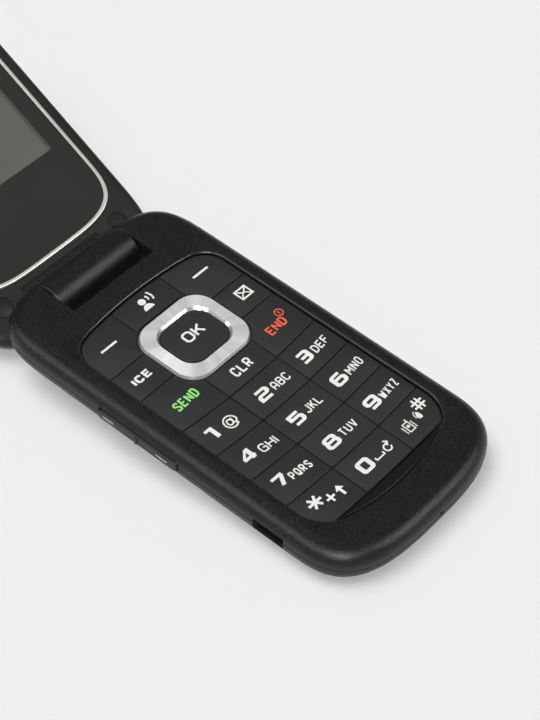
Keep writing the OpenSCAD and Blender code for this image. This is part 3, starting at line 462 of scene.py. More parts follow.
# the middle part of a noise's values, which most of the surface takes
NOISE_LOW = 0.3
NOISE_HIGH = 0.7


def paint(code):
    """A colour written as a maker writes it, as the shader wants it."""
    values = [int(code[place:place + 2], 16) / 255 for place in (1, 3, 5)]
    return tuple(value / 12.92 if value <= 0.04045 else ((value + 0.055) / 1.055) ** 2.4
                 for value in values) + (1.0,)


def new_group(name, inputs, outputs):
    group = bpy.data.node_groups.new(name, "ShaderNodeTree")
    for label, value in inputs:
        socket = group.interface.new_socket(label, in_out="INPUT", socket_type="NodeSocketFloat")
        socket.default_value = value
    for label in outputs:
        group.interface.new_socket(label, in_out="OUTPUT", socket_type="NodeSocketFloat")
    return group, group.nodes.new("NodeGroupInput"), group.nodes.new("NodeGroupOutput")


def feed(tree, socket, source):
    """Link a socket to its source, or set it when the source is a value."""
    if isinstance(source, bpy.types.NodeSocket):
        tree.links.new(source, socket)
    else:
        socket.default_value = source


def add(tree, kind, inputs, output=0, **settings):
    """One output of a new node with the given settings and inputs, each a socket or a value."""
    node = tree.nodes.new("ShaderNode" + kind)
    for label, value in settings.items():
        setattr(node, label, value)
    for place, source in inputs.items():
        feed(tree, node.inputs[place], source)
    return node.outputs[output]


def feed_all(tree, node, **sources):
    """Fill a node's inputs; an underscore in a name stands for a space."""
    for label, source in sources.items():
        feed(tree, node.inputs[label.replace("_", " ")], source)


def noise(tree, place, scale, detail=2.0):
    return add(tree, "TexNoise", {"Detail": detail, "Vector": place, "Scale": scale}, "Fac")


def reckon(tree, operation, *sources):
    """A value worked out from others."""
    return add(tree, "Math", dict(enumerate(sources)), operation=operation)


def build_moulded_grain():
    """Fine spark-eroded grain, a slow drift of tone, patches polished by handling, and flecks."""
    group, given, result = new_group("moulded_grain", (("Grain", 5000.0), ("Drift", 60.0)),
                                     ("Height", "Tone", "Polish", "Flecks"))
    place = add(group, "TexCoord", {}, "Object")
    feed_all(group, result, Height=noise(group, place, given.outputs["Grain"], 3.0),
             Tone=noise(group, place, given.outputs["Drift"], 4.0),
             Polish=noise(group, place, POLISH_SCALE, 1.0), Flecks=noise(group, place, FLECK_SCALE))
    return group


def build_brushing():
    """Turned scratches round the ring's middle, and light and dark sectors of painted sheen that fan out from it,
    standing in for the spun finish's reflections.
    """
    group, given, result = new_group("brushing", (("Fineness", 9000.0),), ("Height", "Tone"))
    place = add(group, "TexCoord", {}, "Object")
    centred = add(group, "VectorMath", {0: place, 1: BASE @ Vector((0, RING_AT, 0))}, operation="SUBTRACT")
    away = add(group, "VectorMath", {0: centred}, "Value", operation="LENGTH")
    parts = add(group, "SeparateXYZ", {0: centred}).node.outputs
    angle = reckon(group, "ARCTAN2", parts["Y"], parts["X"])
    turned = add(group, "CombineXYZ", {"X": away})
    fan = add(group, "CombineXYZ", {"X": angle})
    feed_all(group, result, Height=noise(group, turned, given.outputs["Fineness"]),
             Tone=noise(group, fan, SHEEN_FAN_SCALE, 1.5))
    return group


def build_lint():
    """A few pale specks of dust, 0.1 mm across."""
    group, given, result = new_group("lint", (("Spread", 260.0), ("Size", 0.035)), ("Mask",))
    place = add(group, "TexCoord", {}, "Object")
    cells = add(group, "TexVoronoi", {"Vector": place, "Scale": given.outputs["Spread"]}).node.outputs
    near = reckon(group, "LESS_THAN", cells["Distance"], given.outputs["Size"])
    chance = add(group, "SeparateColor", {"Color": cells["Color"]})
    seldom = reckon(group, "GREATER_THAN", chance, LINT_BARE)
    feed_all(group, result, Mask=reckon(group, "MULTIPLY", near, seldom))
    return group


MOULDED = build_moulded_grain()
BRUSHING = build_brushing()
LINT = build_lint()


def spread(tree, source, low, high):
    """Turn a noise's value into one between low and high."""
    span = {"From Min": NOISE_LOW, "From Max": NOISE_HIGH, "To Min": low, "To Max": high}
    return add(tree, "MapRange", {**span, "Value": source})


def mix(tree, kind, factor, first, second):
    """Blend two numbers (FLOAT) or two colours (RGBA)."""
    start, output = {"FLOAT": (2, 0), "RGBA": (6, 2)}[kind]
    return add(tree, "Mix", {0: factor, start: first, start + 1: second}, output, data_type=kind)


def new_material(name):
    material = bpy.data.materials.new(name)
    material.use_nodes = True
    return material, material.node_tree, material.node_tree.nodes["Principled BSDF"]


def finish(name, light, dark, rough=(0.4, 0.5), grain=5000.0, depth=0.00001, strength=0.3,
           metal=0.0, gloss=0.5, coat=0.0, specks=False, brushed=False, flecks=0.0):
    """A finish between two tones. The tone follows the slow drift (on brushed metal, the sectors of painted
    sheen), or the flecks by their share; grain is in features per metre, and depth is the grain's height in
    metres."""
    material, tree, shader = new_material(name)
    effect = add(tree, "Group", {0: grain}, node_tree=BRUSHING if brushed else MOULDED).node.outputs
    tone = spread(tree, effect["Tone"], 0.0, 1.0)
    if flecks:
        tone = mix(tree, "FLOAT", flecks, tone, spread(tree, effect["Flecks"], 0.0, 1.0))
    colour = mix(tree, "RGBA", tone, paint(dark), paint(light))
    if specks:
        colour = mix(tree, "RGBA", add(tree, "Group", {}, node_tree=LINT), colour, paint(LINT_TONE))
    normal = add(tree, "Bump", {"Strength": strength, "Distance": depth, "Height": effect["Height"]})
    polish = spread(tree, effect["Tone" if brushed else "Polish"], rough[0], rough[1])
    feed_all(tree, shader, Base_Color=colour, Roughness=polish, Normal=normal, Metallic=metal,
             Specular_IOR_Level=gloss, Coat_Weight=coat)
    if brushed:
        around = add(tree, "Tangent", {}, direction_type="RADIAL", axis="Z")
        feed_all(tree, shader, Tangent=around, Anisotropic=0.75, Anisotropic_Rotation=0.25)
    return material


soft_touch = finish("soft_touch_black", "#232425", "#000000", rough=(0.27, 0.33), grain=4000.0,
                    depth=0.00008, strength=1.0, gloss=0.27, specks=True, flecks=1.0)
# the rims of the key field and the hinge slot: glossier, and lighter in colour, which is a painted highlight along
# their edges
rim_painted_sheen = finish("key_field_rim_painted_sheen", "#2c2d2e", "#222324", rough=(0.2, 0.28), gloss=0.6)
side_plastic = finish("side_plastic_grey", "#222221", "#1c1c1b", rough=(0.42, 0.48), gloss=0.3)
key_plastic = finish("key_plastic_grey", "#2b2c2c", "#272828", rough=(0.46, 0.52), grain=6500.0,
                     gloss=0.3)
trim_plastic = finish("crescent_grey", "#181818", "#121212", rough=(0.24, 0.3), gloss=0.25)
side_key_plastic = finish("side_key_black", "#1d1e1f", "#18191a", rough=(0.4, 0.46), gloss=0.4)
# its colour and roughness swing in sectors round the ring's middle: painted sheen for the spun finish's
# reflections, besides the real brushed anisotropy
ring_painted_sheen_metal = finish("ring_brushed_silver_painted_sheen", "#f4f5f3", "#d2d3d1", rough=(0.25, 0.31), grain=9000.0,
                    depth=0.000003, strength=0.3, metal=0.35, brushed=True)
ring_bevel = finish("ring_polished_bevel", "#e8eaea", "#d8dada", rough=(0.16, 0.2), metal=0.8)
frame_metal = finish("frame_line_silver", "#d2cfc8", "#c6c3bc", rough=(0.3, 0.36), metal=0.4)
lid_plastic = finish("lid_inner_plastic", "#242322", "#1d1c1b", rough=(0.36, 0.42), grain=3600.0,
                     depth=0.00003, strength=0.6, gloss=0.25, specks=True)
shell_plastic = finish("lid_shell_blue_black", "#10131a", "#0c0f15", rough=(0.2, 0.26), gloss=0.5,
                       strength=0.1, coat=0.3)
window_plastic = finish("window_smoke", "#343331", "#31302e", rough=(0.1, 0.14), strength=0.02,
                        gloss=0.22)
black_glass = finish("outer_glass", "#0a0b0d", "#08090a", rough=(0.06, 0.09), strength=0.02)
lens_glass = finish("camera_glass", "#10141c", "#0a0c12", rough=(0.04, 0.06), strength=0.02, coat=1.0)
soft_rubber = finish("rubber_black", "#1f1f1f", "#1a1a1a", rough=(0.55, 0.65), gloss=0.3)
legend_white = finish("legend_white", "#f1efea", "#e9e7e2", rough=(0.5, 0.55), gloss=0.3)
legend_green = finish("legend_green", "#9fe789", "#97df81", rough=(0.5, 0.55), gloss=0.3)
legend_red = finish("legend_coral", "#ef6a50", "#e66148", rough=(0.5, 0.55), gloss=0.3)
bare_metal = finish("bare_metal", "#c4c6c8", "#a9abad", rough=(0.25, 0.35), metal=1.0)
socket_steel = finish("socket_blackened", "#1a1a1b", "#141415", rough=(0.4, 0.5), metal=0.5)
gold_metal = finish("gold_plating", "#d9b35a", "#c39b45", rough=(0.2, 0.3), metal=1.0)
copper_film = finish("copper_flex", "#b5651d", "#9c5516", rough=(0.35, 0.45))
board_green = finish("board_green", "#1f5a3a", "#184a30", rough=(0.35, 0.45))
dome_film = finish("dome_film", "#1b1c1c", "#161717", rough=(0.4, 0.5))
battery_wrap = finish("battery_wrap", "#3b4654", "#343e4b", rough=(0.4, 0.5))
dark_plastic = finish("dark_plastic", "#1c1c1c", "#161616", rough=(0.4, 0.5))


def build_display_finish():
    """The dark display behind the window: grey, a little darker in a strip along both sides."""
    material, tree, shader = new_material("display_grey")
    effect = add(tree, "Group", {"Drift": DISPLAY_DRIFT}, node_tree=MOULDED).node.outputs
    place = add(tree, "TexCoord", {}, "Object")
    across = reckon(tree, "ABSOLUTE", add(tree, "SeparateXYZ", {0: place}, "X"))
    strip = add(tree, "MapRange", {"From Min": STRIP_FROM, "From Max": STRIP_TO, "Value": across})
    grey = mix(tree, "RGBA", spread(tree, effect["Tone"], 0.0, 1.0), paint("#5c5a56"), paint("#65635e"))
    colour = mix(tree, "RGBA", strip, grey, paint("#52504c"))
    feed_all(tree, shader, Base_Color=colour, Roughness=spread(tree, effect["Polish"], 0.1, 0.14),
             Specular_IOR_Level=0.22)
    return material


display_grey = build_display_finish()

# ---- keypad half: casings ----
# the grain stops at this height: the casing's side is smooth below it
SMOOTH_BAND = 6.5
MIC_X = 0.6
MIC_H = 5.6
# openings in both casings: the charging socket, and the heights between which the side keys sit
PORT = (-30, -19.85, -32.0, -24.2, 2.85, 6.1)
SIDE_KEY_ROOM = (3.55, 6.25)
SCREWS = ((-22.6, 24.3), (22.6, 24.3), (-16.5, -39.5), (16.5, -39.5))


def side_cuts():
    """The openings that both casings share at their joint line."""
    tools = [block(-30, -SIDE_IN + 0.15, -4.6, 17.2, *SIDE_KEY_ROOM),
             block(SIDE_IN - 0.4, 30, -11.05, -1.55, *SIDE_KEY_ROOM),
             block(SIDE_IN - 0.4, 30, -0.15, 9.35, *SIDE_KEY_ROOM),
             rod(13.4, 30, JACK_AT, PARTING, 2.45)]
    tools.append(block(*PORT))
    tools.append(bore(MIC_X, -49.25, MIC_H, 0.48, 4.4, 24))
    return tools


def hinge_bores():
    return [rod(-16.9, -11.2, AXIS_Y, AXIS_H, 2.25), rod(11.2, 17.75, AXIS_Y, AXIS_H, 2.05)]


def build_front_housing():
    housing = slab("front_casing", base_outline(), PARTING + SEAM, BASE_H)
    round_at(housing, BASE_H, TOP_ROUND, 14)
    round_at(housing, PARTING + SEAM, 0.12, 2)
    hollow = slab("hollow", base_outline(WALL, COARSE), PARTING - 1, BASE_H - WALL)
    round_at(hollow, BASE_H - WALL, TOP_ROUND - WALL, 4)
    trim(hollow, (0, SLOT_Y - WALL, 0), (0, 1, 0))
    for x, y in SCREWS:
        cut(hollow, post(x, y, 1.48, 6.75, BASE_H))
    cut(housing, hollow)
    cut(housing, slab("opening", pad_outline(), BASE_H - WALL - 1, BASE_H + 1))
    half = PAD_HALF + 0.05
    round_edges(housing, lambda edge: level(edge, BASE_H) and all(
        abs(corner.co.x) < half and -41.1 < corner.co.y < 31.9 for corner in edge.verts), 0.32, 3)
    cut(housing, block(-SLOT_HALF, SLOT_HALF, SLOT_Y, 60, -1, BASE_H + 1))

    def on_slot(edge):
        return level(edge, BASE_H) and edge.calc_face_angle(0) > 1.2 and all(
            abs(corner.co.x) < SLOT_HALF + 0.01 and corner.co.y > SLOT_Y - 0.01 for corner in edge.verts)

    round_edges(housing, on_slot, 0.22, 3)
    cut(housing, *hinge_bores())
    cut(housing, *side_cuts())
    for x, y in SCREWS:
        cut(housing, post(x, y, 0.75, 0, 7.93, sides=24))
    settle(housing, "keypad_half", soft_touch, ("front_housing",))
    housing.data.materials.append(rim_painted_sheen)
    housing.data.materials.append(side_plastic)
    inwards = BASE.inverted()
    for face in housing.data.polygons:
        here = inwards @ face.center
        if here.z < SMOOTH_BAND and abs(face.normal.z) < 0.5:
            face.material_index = 2
        # faces on the rims of the key field and the hinge slot take the lighter rim tone, a painted highlight
        field_rim = abs(here.x) < half + 0.3 and -41.4 < here.y < 32.2
        slot_rim = abs(here.x) < SLOT_HALF + 0.3 and here.y > SLOT_Y - 0.3
        if (field_rim or slot_rim) and here.z > BASE_H - 0.4 and 0.2 < face.normal.z < 0.98:
            face.material_index = 1


def build_rear_housing():
    casing = slab("rear_casing", base_outline(), 0, PARTING - SEAM)
    round_at(casing, 0, BOTTOM_ROUND, 14)
    round_at(casing, PARTING - SEAM, 0.12, 2)
    cut(casing, block(-30, 30, -60, 28.75, -1, COVER_RIM))
    join(casing, block(*BAY_WALL, COVER_RIM, 5.85))
    for x, y in SCREWS:
        join(casing, post(x, y, 2.18, COVER_RIM, 5.85))
    trough = slab("trough", base_outline(1.5, COARSE), 3.0, BASE_H)
    cut(trough, block(*BAY_WALL, 0, BASE_H + 1), block(-30, 30, SLOT_Y - WALL, 60, 0, BASE_H + 1))
    for x, y in SCREWS:
        cut(trough, post(x, y, 2.18, 0, BASE_H + 1))
    cut(casing, trough, block(*BAY, -1, 5.35),
        block(-SLOT_HALF, SLOT_HALF, SLOT_Y, 60, 1.2, BASE_H),
        block(-SLOT_HALF, SLOT_HALF, AXIS_Y - 3.7, 60, -1, BASE_H))
    cut(casing, *hinge_bores())
    cut(casing, *side_cuts())
    for x, y in SCREWS:
        cut(casing, post(x, y, 0.78, -1, BASE_H, sides=24), post(x, y, 1.58, -1, 3.0, sides=32))
    for x in (-16.7, -14.5, -12.3):
        cut(casing, post(x, 31.8, 0.7, -1, 4.5, sides=24))
    for x in (-4, 0, 4):
        cut(casing, bore(x, 27.9, 3.2, 0.55, 5.8, 20))
    settle(casing, "keypad_half", side_plastic, ("rear_housing",))


def build_battery_cover():
    cover = slab("back_cover", base_outline(), 0, COVER_RIM - SEAM - 0.03)
    cut(cover, slab("beyond", [(-30, 28.7), (30, 28.7), (30, 60), (-30, 60)], -1, 5))
    # the cover's edge follows the same lower rounding as the rear casing
    envelope = slab("envelope", base_outline(), 0, PARTING)
    round_at(envelope, 0, BOTTOM_ROUND, 14)
    combine(cover, envelope, "INTERSECT")
    cut(cover, block(-17.3, 17.3, -23, 28, 1.0, 5), block(-17.3, 17.3, 26, 60, 1.0, 5))
    # thumb recess with grip ribs
    recess = slab("recess", rounded(8, 3.2, 3.1, 0, 21.5), -1, 0.45)
    round_at(recess, 0.45, 0.3, 3)
    for step in range(5):
        y = 19.6 + step * 0.95
        cut(recess, block(-5.5, 5.5, y - 0.16, y + 0.16, 0.12, 2))
    cut(cover, recess)
    settle(cover, "cover", side_plastic, ("battery_cover",))


# ---- keys ----
PAD_EDGE = PAD_HALF + 1
PAD_ROOF = 32.0
LEFT = (-PAD_EDGE, -COLUMN)
MIDDLE = (-COLUMN, COLUMN)
RIGHT = (COLUMN, PAD_EDGE)
ROWS = {"soft": (ROW_SOFT, PAD_ROOF), "side": (ROW_SIDE, ROW_SOFT), "call": (ROW_CALL, ROW_SIDE)}
for number in range(4):
    ROWS[f"row_{number + 1}"] = (ROW_LOW + number * ROW_PITCH, ROW_LOW + (number + 1) * ROW_PITCH)

KEYS = {
    "soft_left": (LEFT, "soft"), "voice": (MIDDLE, "soft"), "soft_right": (RIGHT, "soft"),
    "ice": (LEFT, "side"), "mail": (RIGHT, "side"),
    "send": (LEFT, "call"), "clear": (MIDDLE, "call"), "end": (RIGHT, "call"),
    "1": (LEFT, "row_4"), "2": (MIDDLE, "row_4"), "3": (RIGHT, "row_4"),
    "4": (LEFT, "row_3"), "5": (MIDDLE, "row_3"), "6": (RIGHT, "row_3"),
    "7": (LEFT, "row_2"), "8": (MIDDLE, "row_2"), "9": (RIGHT, "row_2"),
    "star": (LEFT, "row_1"), "0": (MIDDLE, "row_1"), "hash": (RIGHT, "row_1"),
}


def steps(first, last, count):
    return [first + (last - first) * index / count for index in range(count + 1)]


def build_key(name):
    (x0, x1), row = KEYS[name]
    low, high = ROWS[row]
    gap = KEY_GAP / 2
    outline = [(x, row_y(low, x) + gap) for x in steps(x0 + gap, x1 - gap, 10)]
    outline += [(x, row_y(high, x) - gap) for x in steps(x1 - gap, x0 + gap, 10)]
    key = slab(f"cap_{name}", outline, KEY_LOW, KEY_TOP)
    combine(key, slab("field", pad_outline(-0.35), KEY_LOW - 1, KEY_TOP + 1), "INTERSECT")
    if row in ("soft", "side", "call"):
        cut(key, slab("ring_room", rounded(10.8, 9.75, 5.8, 0, RING_AT, 24), KEY_LOW - 1, KEY_TOP + 1))
    round_edges(key, lambda edge: upright(edge, 40), 0.45, 4)
    round_at(key, KEY_TOP, 0.13, 2)
    if name == "5":
        for x in (-5.8, 6.3):
            dot = post(x, -15.65, 0.45, KEY_TOP - 0.1, KEY_TOP + 0.14, sides=20)
            round_at(dot, KEY_TOP + 0.14, 0.12, 3)
            join(key, dot)
    settle(key, f"button_{name}", key_plastic, (f"key_{name}",))


def build_trim():
    crescent = slab("crescent", pad_outline(-0.6), 7.4, KEY_TOP - 0.1)
    line = [(x, row_y(ROW_LOW, x) - KEY_GAP / 2) for x in steps(-PAD_EDGE, PAD_EDGE, 24)]
    cut(crescent, slab("above", line + [(PAD_EDGE, 60), (-PAD_EDGE, 60)], 0, 12))
    round_at(crescent, KEY_TOP - 0.1, 0.2, 3)
    settle(crescent, "keypad_half", trim_plastic, ("keypad_trim",))


def build_ring():
    profile = ((10.5, 9.45, 5.5, 8.40), (10.5, 9.45, 5.5, 8.52), (10.47, 9.42, 5.47, 8.58),
               (10.16, 9.11, 5.16, 9.01), (10.08, 9.03, 5.08, 9.05), (7.42, 6.4, 4.1, 9.32),
               (7.34, 6.32, 4.05, 9.30), (6.92, 5.82, 3.86, 8.75), (6.9, 5.8, 3.85, 8.68),
               (6.9, 5.8, 3.85, 8.40))
    rings = [[(x, y, z) for x, y in rounded(half_x, half_y, radius, 0, RING_AT, 14)]
             for half_x, half_y, radius, z in profile]
    ring = band("navigation_ring", rings)
    settle(ring, "ring", ring_painted_sheen_metal, ("nav_ring",), crease=14)
    ring.data.materials.append(ring_bevel)
    for face in ring.data.polygons:
        if abs(face.normal.z) < 0.94:
            face.material_index = 1


def build_centre_key():
    key = slab("centre_key", rounded(6.7, 5.6, 3.8, 0, RING_AT, 16), KEY_LOW, OK_TOP)
    round_at(key, OK_TOP, 0.16, 3)
    settle(key, "button_ok", key_plastic, ("key_ok",))


# ---- side keys and sockets ----
def turned_block(name, outline, x_in, x_out):
    """A plate whose outline is drawn on the side wall (y, z), between two distances from the middle."""
    piece = slab(name, outline, 0, abs(x_out - x_in))
    way = -1 if x_out < x_in else 1
    turn_up = Matrix(((0, 0, way, 0), (1, 0, 0, 0), (0, 1, 0, 0), (0, 0, 0, 1)))
    piece.data.transform(Matrix.Translation((x_in, 0, 0)) @ turn_up)
    open_whole(piece)
    return face_outwards(piece)


def face_rim(x):
    return lambda edge: all(abs(corner.co.x - x) < 0.004 for corner in edge.verts)


def build_side_keys():
    face = rounded(10.75, 1.2, 1.1, VOLUME_AT, SIDE_MID)
    volume = turned_block("volume_rocker", face, -SIDE_IN, -VOLUME_OUT)
    round_edges(volume, face_rim(-VOLUME_OUT), 0.3, 4)
    nub = turned_block("nub", rounded(0.45, 1.0, 0.4, 6.4, SIDE_MID), -VOLUME_OUT + 0.2, -VOLUME_OUT - 0.3)
    round_edges(nub, face_rim(-VOLUME_OUT - 0.3), 0.2, 3)
    join(volume, nub)
    settle(volume, "volume_rocker", side_key_plastic, ("volume_key",))
    marks = []
    for y in (14.1, -0.5):
        marks.append(turned_block("mark", rounded(1.5, 0.085, 0.08, y, SIDE_MID, 4), -VOLUME_OUT + 0.02,
                                  -VOLUME_OUT - 0.02))
    settle(gather(marks, "volume_marks"), "volume_rocker", legend_white)
    for name, y in (("camera", -6.3), ("speaker", 4.6)):
        key = turned_block(f"{name}_side_key", rounded(4.6, 1.2, 1.0, y, SIDE_MID), SIDE_IN, RIGHT_OUT)
        round_edges(key, face_rim(RIGHT_OUT), 0.3, 4)
        settle(key, f"{name}_button", side_key_plastic, (f"{name}_key",))


# ---- lid ----
def lid_screw_posts(radius, low, high):
    return [post(x, LID_SCREW_AT, radius, low, high) for x in (-LID_SCREW_X, LID_SCREW_X)]


def ear_slot(low, high):
    return slab("ear", rounded(5.0, 0.75, 0.74, 0, EAR_AT), low, high)


def build_lid_inner():
    plate = slab("lid_face", lid_outline(), LID_SEAM + SEAM, CHIN)
    round_at(plate, CHIN, 2.15, 10)
    hollow = slab("hollow", lid_outline(LID_WALL, COARSE), LID_SEAM - 1, LID_FLOOR)
    trim(hollow, (0, 7.7, 0), (0, -1, 0))
    cut(plate, hollow)
    neck = block(-BARREL_HALF, BARREL_HALF, -2.4, 6.9, CHIN - WALL, CHIN + 0.3, "neck")
    round_edges(neck, lambda edge: upright(edge) and edge.verts[0].co.y > 5, 0.9, 5)
    round_at(neck, CHIN + 0.3, 0.18, 3)
    web = block(-BARREL_HALF + 0.01, BARREL_HALF - 0.01, -2.4, 2.4, CHIN - 0.2, -3.67, "web")
    barrel = rod(-BARREL_HALF, BARREL_HALF, 0, 0, BARREL_R, "barrel", 96)
    round_edges(barrel, lambda edge: all(abs(abs(corner.co.x) - BARREL_HALF) < 0.01 for corner in edge.verts)
                and abs(edge.verts[0].co.x - edge.verts[1].co.x) < 0.01, 0.55, 5)
    join(barrel, web, neck)
    join(plate, barrel)
    cut(plate, slab("seat", frame_outline(0.5), WINDOW_LOW - 0.05, 0),
        slab("view", rounded(17.9, 22.25, 0.8, 0, PICTURE_AT), -13, -5),
        ear_slot(-13, -5),
        rod(-14, -5.0, 0, 0, 2.95), rod(6.0, 14, 0, 0, 2.05), rod(-4.5, 4.5, 0, 0, 3.3),
        block(-3.65, 3.65, 0, 8.7, -7.05, LID_FLOOR), block(-3.65, 3.65, -0.5, 0.5, -7.05, -0.5))
    cut(plate, *lid_screw_posts(2.4, CHIN - 0.65, CHIN + 1))
    cut(plate, *lid_screw_posts(1.58, -6.75, CHIN + 1))
    cut(plate, *lid_screw_posts(0.78, -13, CHIN + 1))
    for x in (-BUMPER_X, BUMPER_X):
        cut(plate, post(x, BUMPER_AT, 1.55, CHIN - 0.5, CHIN + 1))
    settle(plate, "lid", lid_plastic, ("lid_inner_housing",))
    plate.data.materials.append(soft_touch)
    inwards = LID.inverted()
    for face in plate.data.polygons:
        here = inwards @ face.center
        if abs(here.x) < BARREL_HALF + 0.02 and here.y < 7 and here.z > CHIN + 0.01:
            face.material_index = 1


def build_lid_outer():
    shell = slab("lid_back_shell", lid_outline(), LID_BACK, LID_SEAM - SEAM)
    round_at(shell, LID_BACK, BOTTOM_ROUND, 14)
    hollow = slab("hollow", lid_outline(LID_WALL, COARSE), LID_BACK + WALL, LID_SEAM + 1)
    round_at(hollow, LID_BACK + WALL, 3.0, 4)
    cut(hollow, *lid_screw_posts(2.18, -13, 0))
    cut(shell, hollow)
    cut(shell, *lid_screw_posts(0.75, -10.2, 0))
    seat = slab("seat", rounded(17.05, 13.05, 3.0, 0, OUTER_WINDOW_AT), -14, LID_BACK + 0.75)
    cut(shell, seat, slab("through", rounded(15, 11, 2.0, 0, OUTER_WINDOW_AT), -14, -10))
    cut(shell, post(0, LENS_AT, 3.65, -14, LID_BACK + 0.65, sides=64), post(0, LENS_AT, 2.8, -14, -10))
    settle(shell, "lid", shell_plastic, ("lid_outer_housing",))


def build_window():
    line = slab("silver_line", frame_outline(0.4), WINDOW_LOW, FRAME_TOP)
    round_at(line, FRAME_TOP, 0.22, 4)
    cut(line, slab("inside", frame_outline(-0.4), -8, 0))
    round_at(line, FRAME_TOP, 0.16, 3)
    settle(line, "lid", frame_metal, ("window_frame",))
    window = slab("window", frame_outline(-0.5), WINDOW_LOW, WINDOW_TOP)
    cut(window, ear_slot(-8, 0))
    cut(window, slab("view", rounded(PICTURE_HALF, 21.25, 0.6, 0, PICTURE_AT), -8, 0))
    settle(window, "lid", window_plastic, ("lid_window",))
    pane = rounded(PICTURE_HALF - 0.01, 21.24, 0.59, 0, PICTURE_AT)
    picture = slab("display_pane", pane, WINDOW_LOW, WINDOW_TOP)
    settle(picture, "lid", display_grey)
    mesh_plate = slab("earpiece_mesh", rounded(4.9, 0.68, 0.66, 0, EAR_AT), -6.2, -5.35)
    for step in range(-7, 8):
        for row in (-0.28, 0.28):
            cut(mesh_plate, post(step * 0.62, EAR_AT + row, 0.17, -5.7, -5, sides=10))
    settle(mesh_plate, "lid", bare_metal)


def build_lid_details():
    covers = []
    for cover in lid_screw_posts(2.27, CHIN - 0.6, CHIN):
        round_at(cover, CHIN, 0.05, 2)
        covers.append(cover)
    settle(gather(covers, "screw_plugs"), "lid", lid_plastic, ("screw_covers",))
    bumpers = []
    for x in (-BUMPER_X, BUMPER_X):
        bumper = post(x, BUMPER_AT, 1.5, CHIN - 0.45, CHIN + 0.9)
        round_at(bumper, CHIN + 0.9, 0.45, 5)
        bumpers.append(bumper)
    settle(gather(bumpers, "tip_bumpers"), "lid", soft_rubber, ("lid_bumpers",))
    glass = slab("outer_glass", rounded(17, 13, 3, 0, OUTER_WINDOW_AT, 16), LID_BACK, LID_BACK + 0.7)
    round_at(glass, LID_BACK, 0.25, 4)
    settle(glass, "lid", black_glass, ("outer_window",))
    lens = post(0, LENS_AT, 3.6, LID_BACK, LID_BACK + 0.6, sides=96)
    round_at(lens, LID_BACK, 0.3, 4)
    dish = post(0, LENS_AT, 1.6, LID_BACK - 1, LID_BACK + 0.15, sides=64)
    round_at(dish, LID_BACK + 0.15, 0.12, 3)
    cut(lens, dish)
    settle(lens, "lid", lens_glass, ("camera_lens",))


# ---- legends on the keys ----
# widths of the pens that draw pictograms
MARK_PEN = 0.42
THIN_PEN = 0.34
